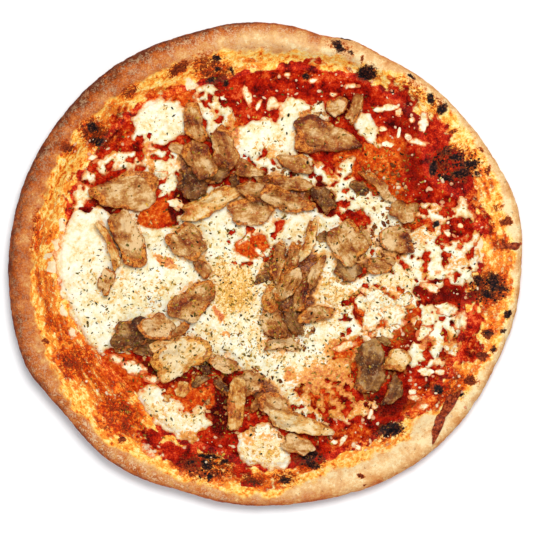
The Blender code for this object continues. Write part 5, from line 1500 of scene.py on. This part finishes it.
def sauce_top(x, y):
    """Height of the sauce's smooth top, as on the solid."""
    inside = smooth_step(sauce_field(x, y) / SAUCE_EDGE_WIDTH)
    full = SAUCE_THICKNESS + SAUCE_RELIEF * relief(x, y, SAUCE_RELIEF_WAVE, 3.0) + dome(x, y, SAUCE_MOUNDS)
    return BASE_THICKNESS + LAYER_GAP + SAUCE_EDGE_THICKNESS + (full - SAUCE_EDGE_THICKNESS) * inside


def ground_top(x, y):
    """Height of the smooth dough or sauce, whichever is on top."""
    angle = np.degrees(np.arctan2(y, x))
    dough = slope_height(angle, np.hypot(x, y))
    dough = dough + crust_bumps(x, y, dough)
    return np.where(sauce_field(x, y) > 0, np.maximum(dough, sauce_top(x, y)), dough)


def build_sauce():
    """The sauce, with its pulp, oily mounds, and dark cooked hollows with painted shade."""
    x, y, triangles, rim = fine_sheet(sauce_field, SAUCE_STEP, PIZZA_LENGTH / 2, 1.0)
    view_x, view_y = view_place(x, y)
    orange = spot_mask(view_x, view_y, SAUCE_ORANGE_SPOTS, 0.4, 4.0, 12.0)
    # dark: cooked sauce and painted shade in the hollows.
    dark = spot_mask(view_x, view_y, SAUCE_DARK_AND_SHADE_SPOTS, 0.5, 4.0, 12.0)
    inside = smooth_step(sauce_field(x, y) / (4 * MM))
    pulp = rough_relief(x, y, 4.5 * MM, 71.0, 3)
    top = sauce_top(x, y) + inside * 0.45 * MM * pulp
    top = BASE_THICKNESS + (top - BASE_THICKNESS) * smooth_step(sauce_field(x, y) / SAUCE_FEATHER)
    count = len(x)
    a, b = edge_pairs(triangles).T
    following = dict(zip(a.tolist(), b.tolist()))
    loop = [int(a[0])]
    while following[loop[-1]] != loop[0]:
        loop.append(following[loop[-1]])
    points = np.concatenate((np.stack((x, y, top), -1),
                             np.stack((x[loop], y[loop], np.full(len(loop), BASE_THICKNESS - 0.1 * MM)), -1)))
    faces = triangles.tolist()
    size = len(loop)
    for i in range(size):
        j = (i + 1) % size
        faces.append([loop[j], loop[i], count + i, count + j])
    faces.append([count + i for i in reversed(range(size))])
    layers = {"orange": orange, "dark": dark,
              "scorch": spot_mask(view_x, view_y, SCORCHED_SPOTS, 0.55, 1.6, 7.0),
              "char": spot_mask(view_x, view_y, CHAR_SPOTS, 0.7, 1.1, 5.0)}
    attributes = {key: np.concatenate((values, np.zeros(size))) for key, values in layers.items()}
    return add_piece("tomato_sauce", points, faces, sauce_look(), attributes, ["sauce"])


def cheese_field(x, y):
    """View pixels inside the edge of the cheese, at points in metres."""
    view_x, view_y = view_place(x, y)
    covered = np.full(np.shape(x), -1000.0)
    for patch in CHEESE_PATCHES:
        covered = np.maximum(covered, patch_field(view_x, view_y, patch))
    open_gap = np.full(np.shape(x), -1000.0)
    for gap in CHEESE_GAPS:
        open_gap = np.maximum(open_gap, patch_field(view_x, view_y, gap))
    wobble = CHEESE_OUTLINE_WOBBLE * relief(view_x, view_y, CHEESE_OUTLINE_WAVE, 7.0)
    angle = np.degrees(np.arctan2(y, x))
    to_rim = foot_radius(angle) - np.hypot(x, y) / VIEW_PIXEL + CHEESE_RIM_MARGIN
    return np.minimum(np.minimum(covered + wobble, wobble - open_gap), to_rim)


def ragged_cheese_field(x, y):
    """The cheese's field with a ragged edge, and with holes where it is crumbly."""
    view_x, view_y = view_place(x, y)
    crumbly = spot_mask(view_x, view_y, CRUMBLY_SPOTS, 0.4, 3.0, 12.0)
    smooth = np.minimum(cheese_field(x, y), CHEESE_CAP)
    ragged = smooth + CHEESE_RAGGED * rough_relief(view_x, view_y, 12.0, 81.0, 3)
    holes = CHEESE_HOLE * (HOLE_LEVEL - rough_relief(view_x, view_y, CHEESE_HOLE, 87.0, 2))
    return np.where(crumbly > 0.02, np.minimum(ragged, holes / np.maximum(crumbly, 0.05)), ragged)


def build_cheese():
    """The melted cheese: the main sheet and the separate patches, each over its own solid."""
    x, y, triangles, rim = fine_sheet(ragged_cheese_field, CHEESE_STEP, PIZZA_LENGTH / 2, VIEW_PIXEL)
    view_x, view_y = view_place(x, y)
    field = ragged_cheese_field(x, y)
    edge = np.sqrt(1 - (1 - np.clip(field / 3.5, 0, 1)) ** 2)
    inside = smooth_step(field / CHEESE_EDGE_WIDTH)
    full = CHEESE_THICKNESS + CHEESE_RELIEF * relief(x, y, CHEESE_RELIEF_WAVE, 5.0)
    thickness = LAYER_GAP + CHEESE_EDGE_THICKNESS + (full - CHEESE_EDGE_THICKNESS) * inside
    thickness += inside * 0.55 * MM * rough_relief(x, y, 6 * MM, 83.0, 3)
    crumbly = spot_mask(view_x, view_y, CRUMBLY_SPOTS, 0.4, 3.0, 12.0)
    crumbs = np.minimum(cells(view_x, view_y, CRUMB_CELL) / CRUMB_CELL, 0.6) - 0.3
    thickness += (0.25 + 0.75 * crumbly) * inside * 1.3 * MM * crumbs
    ground = ground_top(x, y)
    top = ground - 0.1 * MM + thickness * edge
    bottom = ground - 0.2 * MM
    points, faces = sheet_solid(x, y, top, bottom, triangles)
    layers = {"thin": (1 + 0.3 * crumbly) * (1 - smooth_step(field / (6 + 3 * crumbly))),
              "yellow": spot_mask(view_x, view_y, CHEESE_YELLOW_SPOTS, 0.6, 5.0, 14.0),
              "orange": spot_mask(view_x, view_y, CHEESE_ORANGE_SPOTS, 0.5, 3.0, 8.0),
              "char": spot_mask(view_x, view_y, CHAR_SPOTS, 0.7, 1.1, 5.0),
              # Juice and painted shade: a halo round each slice, and the listed gap spots.
              "juice_and_shade": np.maximum(0.66 * smooth_step(1 + meat_field(view_x, view_y) / 4),
                                  spot_mask(view_x, view_y, JUICE_AND_SHADE_SPOTS, 0.3, 3.0, 9.0))}
    attributes = {key: np.concatenate((values, values)) for key, values in layers.items()}
    nodes = sorted(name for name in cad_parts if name.startswith("cheese"))
    return add_piece("melted_cheese", points, faces, cheese_look(), attributes, nodes)


# ---------------------------------------------------------------- chicken
def slice_outline(piece, seed, count):
    """Plan points round a slice, relative to its centre, in metres: the solid's, but finer."""
    half_length = piece.length * VIEW_PIXEL / 2
    half_width = piece.width * VIEW_PIXEL / 2
    turn = math.radians(piece.turn)
    phase = 2 * np.pi * np.arange(count) / count
    c, s = np.cos(phase), np.sin(phase)
    round_out = (np.abs(c) ** SLICE_SQUARENESS + np.abs(s) ** SLICE_SQUARENESS) ** (-1 / SLICE_SQUARENESS)
    wobble = 1 + SLICE_WOBBLE * relief(c, s, SLICE_WOBBLE_WAVE, seed)
    along = c * round_out * wobble
    across = s * round_out * wobble * (1 - piece.taper * along)
    across = across + 2 * piece.bend * (along ** 2 - BEND_BALANCE)
    u, v = along * half_length, across * half_width
    return u * math.cos(turn) - v * math.sin(turn), u * math.sin(turn) + v * math.cos(turn)


# Share of the outline and share of the thickness, from the middle of the top to the underside.
SLICE_PROFILE = (
    (0.06, 1.0), (0.16, 1.0), (0.26, 1.0), (0.36, 1.0), (0.46, 1.0), (0.55, 1.0), (0.64, 1.0),
    (0.72, 1.0), (0.80, 0.99), (0.86, 0.97), (0.91, 0.94), (0.95, 0.88), (0.98, 0.77), (0.995, 0.6),
    (1.0, 0.36), (0.99, 0.1), (0.94, -0.22),
)
SLICE_SINK = 0.9 * MM
SLICE_RAGGED = 1.1 * MM
SLICE_CURL = 0.8 * MM
SLICE_CREASE = 0.6 * MM
# How much browner single slices are than others of their tone.
BROWNING = {1: 0.0, 2: 0.1, 3: -0.07, 5: 0.05, 6: 0.1, 7: 0.12, 9: 0.1, 14: 0.1, 17: 0.15, 18: -0.1,
            20: 0.1, 22: 0.0, 28: 0.15, 30: 0.05, 31: 0.1, 32: 0.05, 33: 0.1, 34: -0.05, 38: 0.15,
            41: -0.1, 42: 0.12, 44: 0.05, 46: 0.05, 47: 0.18, 48: -0.15, 49: -0.18, 50: -0.1, 51: 0.05, 53: 0.1}
# Slices whose meat looks lighter or darker than their solid's tone.
LOOKS_LIKE = {17: "tan", 22: "tan", 28: "tan", 30: "tan", 31: "tan", 50: "pale"}


def node_tree(name):
    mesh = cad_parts[name].data
    points = [vertex.co.copy() for vertex in mesh.vertices]
    return BVHTree.FromPolygons(points, [tuple(polygon.vertices) for polygon in mesh.polygons])


def undersides(tree, x, y):
    """Heights of a solid's underside at plan points, with the nearest for those outside."""
    heights = []
    for a, b in zip(x - MIDDLE[0], y - MIDDLE[1]):
        hit = tree.ray_cast(Vector((a, b, -1.0)), Vector((0, 0, 1)))[0]
        heights.append(hit.z if hit else np.nan)
    heights = np.array(heights)
    known = ~np.isnan(heights)
    if not known.any():
        return np.full(len(heights), float(tree.find_nearest(Vector((0, 0, 0)))[0].z))
    index = np.arange(len(heights))
    return np.interp(index, index[known], heights[known], period=len(heights))


def build_slice(name, piece, seed, material, base_height, nodes=(), brown=0.0):
    """One slice of meat, with fibres, curled edges and browning, darker in its creases as painted shade, on the given
    base.
    """
    centre_x, centre_y = place(piece.x, piece.y)
    turn = math.radians(piece.turn)
    sideways = -BEND_BALANCE * piece.bend * piece.width * VIEW_PIXEL
    middle_x = centre_x - sideways * math.sin(turn)
    middle_y = centre_y + sideways * math.cos(turn)
    around = math.pi * (piece.length + piece.width) * VIEW_PIXEL / 2
    count = max(40, round(around / SLICE_POINT_SPACING))
    out_x, out_y = slice_outline(piece, seed, count)
    out_x, out_y = out_x + centre_x - middle_x, out_y + centre_y - middle_y
    reach = np.hypot(out_x, out_y)
    nick = 1 + SLICE_RAGGED / reach * rough_relief(out_x, out_y, 6.0 * MM, seed + 0.5, 4)
    out_x, out_y = out_x * nick, out_y * nick
    thickness = piece.thickness * MM
    crisp_side = smooth_step(0.5 + 1.1 * relief(out_x / reach, out_y / reach, 0.9, seed + 8.0))
    points, browned, rind, grain = [], [], [], []
    for share, rise in SLICE_PROFILE:
        x, y = middle_x + out_x * share, middle_y + out_y * share
        sampled = min(share, 0.9)
        base = base_height(middle_x + out_x * sampled, middle_y + out_y * sampled)
        for _ in range(3):
            base = (np.roll(base, 1) + 2 * base + np.roll(base, -1)) / 4
        uneven = 1 + SLICE_RELIEF * relief(x, y, SLICE_RELIEF_WAVE, seed)
        along = ((x - centre_x) * math.cos(turn) + (y - centre_y) * math.sin(turn))
        across = ((y - centre_y) * math.cos(turn) - (x - centre_x) * math.sin(turn))
        crease = np.abs(relief(along / (15 * MM), across / (6 * MM), 1.0, seed + 5.0))
        crease = np.exp(-(crease / 0.28) ** 2)
        lumps = 0.45 * MM * rough_relief(x, y, 6 * MM, seed + 2.0, 3) - SLICE_CREASE * crease
        lumps += SLICE_CURL * share ** 3 * (0.15 + relief(x, y, 12 * MM, seed + 6.0))
        fibres = 0.12 * MM * relief(along / 6, across, 1.3 * MM, seed + 3.0)
        top = min(max(rise, 0.0), 1.0)
        z = base + thickness * rise * uneven + (lumps + fibres) * top
        z -= SLICE_SINK * (1 - smooth_step(rise / 0.5))
        points.append(np.stack((x, y, z), -1))
        patchy = relief(x, y, 9 * MM, seed + 4.0)
        edge = smooth_step((share - 0.78 + 0.12 * patchy) / 0.2) * (0.2 + 0.8 * crisp_side)
        # The crease term darkens the meat in its creases: painted shade.
        shade = 0.23 + brown + 0.3 * patchy + 0.15 * crease
        browned.append(np.clip(shade + edge * (0.35 + 0.25 * patchy), 0, 0.85))
        rind.append(smooth_step((share - 0.92 + 0.26 * crisp_side + 0.1 * patchy) / 0.12) * crisp_side)
        grain.append(np.stack((along / (5 * MM) + seed, across / (1.0 * MM), np.full(count, seed)), -1))
    rings = len(points)
    points = np.concatenate(points)
    faces = ring_faces(rings, count)[:, ::-1].tolist()
    top_pole = len(points)
    first, last = points[:count], points[-count:]
    poles = np.array((first.mean(axis=0), last.mean(axis=0)))
    for i in range(count):
        j = (i + 1) % count
        faces.append([top_pole, i, j])
        faces.append([top_pole + 1, (rings - 1) * count + j, (rings - 1) * count + i])
    browned = np.concatenate(browned)
    grain = np.concatenate(grain)
    attributes = {"browned": np.concatenate((browned, (0.0, 0.5))),
                  "rind": np.concatenate((np.concatenate(rind), (0.0, 1.0))),
                  "grain": np.concatenate((grain, grain[:1], grain[-1:]))}
    return add_piece(name, np.concatenate((points, poles)), faces, material, attributes, nodes)


def over_solid(name, piece, seed, material, brown=0.0):
    """A fine slice in place of the solid one of that name, on the same underside."""
    base_height = partial(undersides, node_tree(name))
    return build_slice(name + "_look", piece, seed, material, base_height, [name], brown)


def build_chicken(materials):
    things = []
    for number, piece in enumerate(CHICKEN, start=1):
        name = f"chicken_{number:02d}"
        material = materials[LOOKS_LIKE.get(number, piece.tone)]
        things.append(over_solid(name, piece, number * SLICE_SEED_STEP, material,
                                 BROWNING.get(number, 0.0)))
    return things


def resting_height(tree, x, y):
    """Heights of what lies under plan points."""
    heights = []
    for a, b in zip(x - MIDDLE[0], y - MIDDLE[1]):
        heights.append(tree.ray_cast(Vector((a, b, 1.0)), Vector((0, 0, -1)))[0].z)
    return np.array(heights)


def build_scraps(tree, materials):
    """The smallest pieces of meat, which lie on whatever is under them."""
    things = []
    for number, piece in enumerate(SCRAPS, start=1):
        things.append(build_slice(f"scrap_{number:02d}", piece, SCRAP_SEED + number * SLICE_SEED_STEP,
                                  materials[piece.tone],
                                  partial(resting_height, tree), brown=0.1))
    return things


# ---------------------------------------------------------------- scattered things
def world_tree(things):
    """One search tree over several pieces."""
    points, faces = [], []
    for thing in things:
        mesh = thing.data
        first = len(points)
        coordinates = np.empty(len(mesh.vertices) * 3)
        mesh.vertices.foreach_get("co", coordinates)
        points += coordinates.reshape(-1, 3).tolist()
        faces += [[first + index for index in polygon.vertices] for polygon in mesh.polygons]
    return BVHTree.FromPolygons(points, faces)


def scatter(fields, draws):
    """Seeded places in the view, spread over the fields by their densities."""
    spots = []
    for field in fields:
        area = math.pi * field.half_length * field.half_width
        for _ in range(round(area * field.density / 1000)):
            phase, share = draws.uniform(0, 2 * math.pi), math.sqrt(draws.uniform(0, 1))
            spots.append((field.x + field.half_length * share * math.cos(phase),
                          field.y + field.half_width * share * math.sin(phase)))
    return spots


def landed(tree, view_x, view_y):
    """Where something dropped on a place in the view comes to rest, and the surface's normal."""
    x, y = place(view_x, view_y)
    hit, normal, index, _ = tree.ray_cast(Vector((x - MIDDLE[0], y - MIDDLE[1], 1.0)), Vector((0, 0, -1)))
    return hit, normal, index


def chip(length, draws, sides, thickness, flatness):
    """Points and faces of a small irregular chip lying flat, round its own middle."""
    turn = draws.uniform(0, 2 * math.pi)
    width = length * draws.uniform(*flatness)
    rim = []
    for corner in range(sides):
        phase = 2 * math.pi * (corner + draws.uniform(-0.25, 0.25)) / sides
        u = 0.5 * length * math.cos(phase) * draws.uniform(0.75, 1.1)
        v = 0.5 * width * math.sin(phase) * draws.uniform(0.75, 1.1)
        rim.append((u * math.cos(turn) - v * math.sin(turn), u * math.sin(turn) + v * math.cos(turn)))
    curl = thickness * draws.uniform(-0.8, 0.8)
    points = [(u, v, -0.5 * thickness + curl * abs(u) / length) for u, v in rim]
    points += [(u, v, 0.5 * thickness + curl * abs(u) / length) for u, v in rim]
    faces = [list(reversed(range(sides))), [sides + i for i in range(sides)]]
    for i in range(sides):
        j = (i + 1) % sides
        faces.append([i, j, j + sides, i + sides])
    return np.array(points), faces


def lump(length, draws, roughness=0.35, flatness=(0.3, 0.5)):
    """Points and faces of a small rounded crumb."""
    shape = bmesh.new()
    fineness = 1 if length < SMALL_LUMP else 2
    bmesh.ops.create_icosphere(shape, subdivisions=fineness, radius=0.5 * length)
    stretch = np.array((draws.uniform(0.7, 1.1), draws.uniform(0.45, 0.85), draws.uniform(*flatness)))
    turn = draws.uniform(0, math.pi)
    seed = draws.uniform(0, 50)
    points = []
    for vertex in shape.verts:
        uneven = 1 + roughness * noise.noise(vertex.co / length * 2.2 + Vector((seed, 0, 0)))
        u, v, w = np.array(vertex.co) * stretch * uneven
        points.append((u * math.cos(turn) - v * math.sin(turn), u * math.sin(turn) + v * math.cos(turn), w))
    faces = [[vertex.index for vertex in face.verts] for face in shape.faces]
    shape.free()
    return np.array(points), faces


def settle(points, hit, normal, tilt, sink):
    """Points of a small thing turned to lie on a surface."""
    lean = (Vector(normal) + Vector(tilt)).normalized()
    turn = np.array(Vector((0, 0, 1)).rotation_difference(lean).to_matrix())
    return points @ turn.T + np.array(hit) + np.array(normal) * sink


def joined(name, parts, material):
    """One mesh of many small settled things, each with its own tint."""
    points, faces, tints = [], [], []
    first = 0
    for spots, corners, tint in parts:
        points.append(spots)
        faces += [[first + index for index in face] for face in corners]
        tints.append(np.broadcast_to(tint, (len(spots), 3)))
        first += len(spots)
    points = np.concatenate(points)
    points[:, 0] += MIDDLE[0]
    points[:, 1] += MIDDLE[1]
    return add_piece(name, points, faces, material, {"tint": np.concatenate(tints)})


def build_herbs(tree):
    """Dried herb flakes: olive, dark and straw-coloured chips on everything in the middle."""
    draws = np.random.default_rng(HERB_SEED)
    tints = [np.array(linear(tint)[:3]) for tint in HERB_TINTS]
    parts = []
    for view_x, view_y in scatter(HERB_FIELDS, draws):
        hit, normal, _ = landed(tree, view_x, view_y)
        length = HERB_LENGTH[0] + (HERB_LENGTH[1] - HERB_LENGTH[0]) * draws.uniform(0, 1) ** 2
        points, faces = chip(length, draws, int(draws.integers(4, 7)), HERB_THICKNESS, (0.22, 0.6))
        tint = tints[draws.choice(len(tints), p=HERB_TINT_ODDS)] * draws.uniform(0.7, 1.2)
        if hit is None:
            continue
        tilt = (draws.uniform(-0.35, 0.35), draws.uniform(-0.35, 0.35), 0)
        parts.append((settle(points, hit, normal, tilt, 0.5 * HERB_THICKNESS), faces, tint))
    return joined("herb_flakes", parts, tinted_look("dried_herbs", 0.55, 0.6 * MM))


def shred(spot, tree, seed):
    """Points, faces and thinness of a flat ragged scrap of cheese that follows what it lies on."""
    shape = bmesh.new()
    bmesh.ops.create_icosphere(shape, subdivisions=SHRED_FINENESS, radius=1.0)
    ball = np.array([vertex.co for vertex in shape.verts])
    faces = [[vertex.index for vertex in face.verts] for face in shape.faces]
    shape.free()
    uneven = 1 + 0.3 * rough_relief(ball[:, 0] * spot.half_length, ball[:, 1] * spot.half_width, 6.0, seed, 3)
    turn = math.radians(spot.turn)
    along = ball[:, 0] * spot.half_length * uneven
    across = ball[:, 1] * spot.half_width * uneven
    view_x = spot.x + along * math.cos(turn) - across * math.sin(turn)
    view_y = spot.y - along * math.sin(turn) - across * math.cos(turn)
    x, y = place(view_x, view_y)
    height = resting_height(tree, x, y) + SHRED_THICKNESS * spot.half_width * VIEW_PIXEL * (0.3 + ball[:, 2] * uneven)
    from_middle = 1 - ball[:, 2] ** 2
    thin = 0.75 - spot.strength + 1.3 * from_middle - 0.8 * (uneven - 1)
    return np.stack((x, y, height), -1), faces, thin


def build_shreds(tree):
    """Scraps of melted cheese on the open sauce."""
    points, faces, thin = [], [], []
    first = 0
    for number, spot in enumerate(SHREDS):
        spots, corners, thinness = shred(spot, tree, 90.0 + 3.0 * number)
        points.append(spots)
        faces += [[first + index for index in face] for face in corners]
        thin.append(thinness)
        first += len(spots)
    points = np.concatenate(points)
    view_x, view_y = view_place(points[:, 0], points[:, 1])
    attributes = {"thin": np.concatenate(thin),
                  "orange": 0.45 * spot_mask(view_x, view_y, CHEESE_ORANGE_SPOTS, 0.5, 3.0, 8.0)}
    return add_piece("cheese_scraps", points, faces, cheese_look(), attributes)


def build_crumbs(tree):
    """Crumbs of cheese on the open sauce."""
    draws = np.random.default_rng(CRUMB_SEED)
    parts = []
    for view_x, view_y in scatter(CRUMB_FIELDS, draws):
        x, y = place(view_x, view_y)
        hit, normal, _ = landed(tree, view_x, view_y)
        length = CRUMB_LENGTH[0] + (CRUMB_LENGTH[1] - CRUMB_LENGTH[0]) * draws.uniform(0, 1) ** 1.8
        points, faces = lump(length, draws)
        warm = draws.uniform(0, 1)
        tint = np.array(linear("f4e2bc")[:3]) * (1 - warm) + np.array(linear("e08a58")[:3]) * warm
        if hit is None or cheese_field(np.array([x]), np.array([y]))[0] > 0:
            continue
        parts.append((settle(points, hit, normal, (0, 0, 0), 0.1 * length), faces, tint))
    return joined("cheese_crumbs", parts, tinted_look("cheese_crumbs", 0.35, 1.0 * MM))


def build_meat_bits(tree):
    """Torn bits of meat in the gaps and round the edges of the clusters."""
    draws = np.random.default_rng(MEAT_BIT_SEED)
    tints = [np.array(linear(tint)[:3]) for tint in MEAT_BIT_TINTS]
    parts = []
    for view_x, view_y in scatter(MEAT_BIT_FIELDS, draws):
        hit, normal, _ = landed(tree, view_x, view_y)
        length = MEAT_BIT_LENGTH[0] + (MEAT_BIT_LENGTH[1] - MEAT_BIT_LENGTH[0]) * draws.uniform(0, 1) ** 1.6
        points, faces = lump(length, draws, 1.3, (0.2, 0.4))
        tint = tints[draws.integers(len(tints))] * draws.uniform(0.8, 1.15)
        if hit is None:
            continue
        tilt = (draws.uniform(-0.3, 0.3), draws.uniform(-0.3, 0.3), 0)
        parts.append((settle(points, hit, normal, tilt, 0.05 * length), faces, tint))
    return joined("meat_bits", parts, tinted_look("meat_bits", 0.25, 1.0 * MM))


def build_char(tree):
    """Black crumbs on the burst and burnt blisters."""
    draws = np.random.default_rng(CHAR_SEED)
    parts = []
    for view_x, view_y in scatter(CHAR_CRUMB_FIELDS, draws):
        hit, normal, _ = landed(tree, view_x, view_y)
        length = draws.uniform(*CHAR_LENGTH)
        points, faces = chip(length, draws, 5, 0.4 * MM, (0.6, 1.0))
        tint = np.array(linear("100e10")[:3]) * draws.uniform(0.5, 2.5)
        if hit is None:
            continue
        tilt = (draws.uniform(-0.7, 0.7), draws.uniform(-0.7, 0.7), 0)
        parts.append((settle(points, hit, normal, tilt, 0.15 * MM), faces, tint))
    return joined("char_crumbs", parts, tinted_look("char", 0.5, 0.8 * MM))


# ---------------------------------------------------------------- stage, light and camera
FLOOR_SIZE = 3.0
CAMERA_HEIGHT = 1.5
# The height above the table at which the view's scale holds.
VIEW_HEIGHT = 9 * MM
SENSOR_WIDTH = 36.0
FRAME_MIDDLE = 266.5


def build_floor():
    shape = bmesh.new()
    bmesh.ops.create_grid(shape, x_segments=1, y_segments=1, size=FLOOR_SIZE / 2)
    mesh = bpy.data.meshes.new("floor")
    shape.to_mesh(mesh)
    shape.free()
    mesh.materials.append(floor_look())
    floor = bpy.data.objects.new("floor", mesh)
    floor.location.z = -0.0002
    bpy.context.scene.collection.objects.link(floor)


def add_area_light(name, location, target, size, power, colour=(1, 1, 1)):
    light = bpy.data.lights.new(name, "AREA")
    light.shape = "DISK"
    light.size = size
    light.energy = power
    light.color = colour
    lamp = bpy.data.objects.new(name, light)
    lamp.location = location
    aim = Vector(target) - Vector(location)
    lamp.rotation_euler = aim.to_track_quat("-Z", "Y").to_euler()
    bpy.context.scene.collection.objects.link(lamp)


def build_lights():
    add_area_light("key", (0.13, 0.38, 1.21), (0, 0, 0), 0.55, 12.9, (1.0, 0.985, 0.96))
    add_area_light("fill", (-0.35, -0.85, 0.6), (0, 0, 0), 0.8, 3.2, (0.92, 0.96, 1.0))
    world = bpy.data.worlds.new("soft_white")
    world.use_nodes = True
    backdrop = world.node_tree.nodes["Background"]
    backdrop.inputs["Color"].default_value = (0.955, 0.975, 1.0, 1.0)
    backdrop.inputs["Strength"].default_value = 0.44
    bpy.context.scene.world = world


def build_camera():
    camera = bpy.data.cameras.new("camera")
    x, y = place(FRAME_MIDDLE, FRAME_MIDDLE)
    camera.sensor_width = SENSOR_WIDTH
    camera.lens = SENSOR_WIDTH * (CAMERA_HEIGHT - VIEW_HEIGHT) / (VIEW_SIZE * VIEW_PIXEL)
    holder = bpy.data.objects.new("camera", camera)
    holder.location = (x - MIDDLE[0], y - MIDDLE[1], CAMERA_HEIGHT)
    bpy.context.scene.collection.objects.link(holder)
    bpy.context.scene.camera = holder


def main():
    bpy.context.scene.view_settings.view_transform = "Standard"
    build_camera()
    build_lights()
    build_floor()
    dough = build_crust()
    sauce = build_sauce()
    cheese = build_cheese()
    materials = {tone: meat_look(tone) for tone in MEAT_COLOURS}
    chicken = build_chicken(materials)
    burnt = over_solid("burnt_strip", BURNT_STRIP, BURNT_SEED, burnt_look())
    base_tree = world_tree([dough, sauce, cheese])
    scraps = build_scraps(base_tree, materials)
    drip = build_slice("burnt_drip", BURNT_DRIP, BURNT_SEED + SLICE_SEED_STEP, burnt_look(),
                       partial(resting_height, base_tree))
    shreds = build_shreds(base_tree)
    build_crumbs(base_tree)
    build_char(base_tree)
    bits = build_meat_bits(base_tree)
    build_herbs(world_tree([dough, sauce, cheese, shreds, burnt, drip, bits] + chicken + scraps))
    bpy.context.view_layer.update()


main()
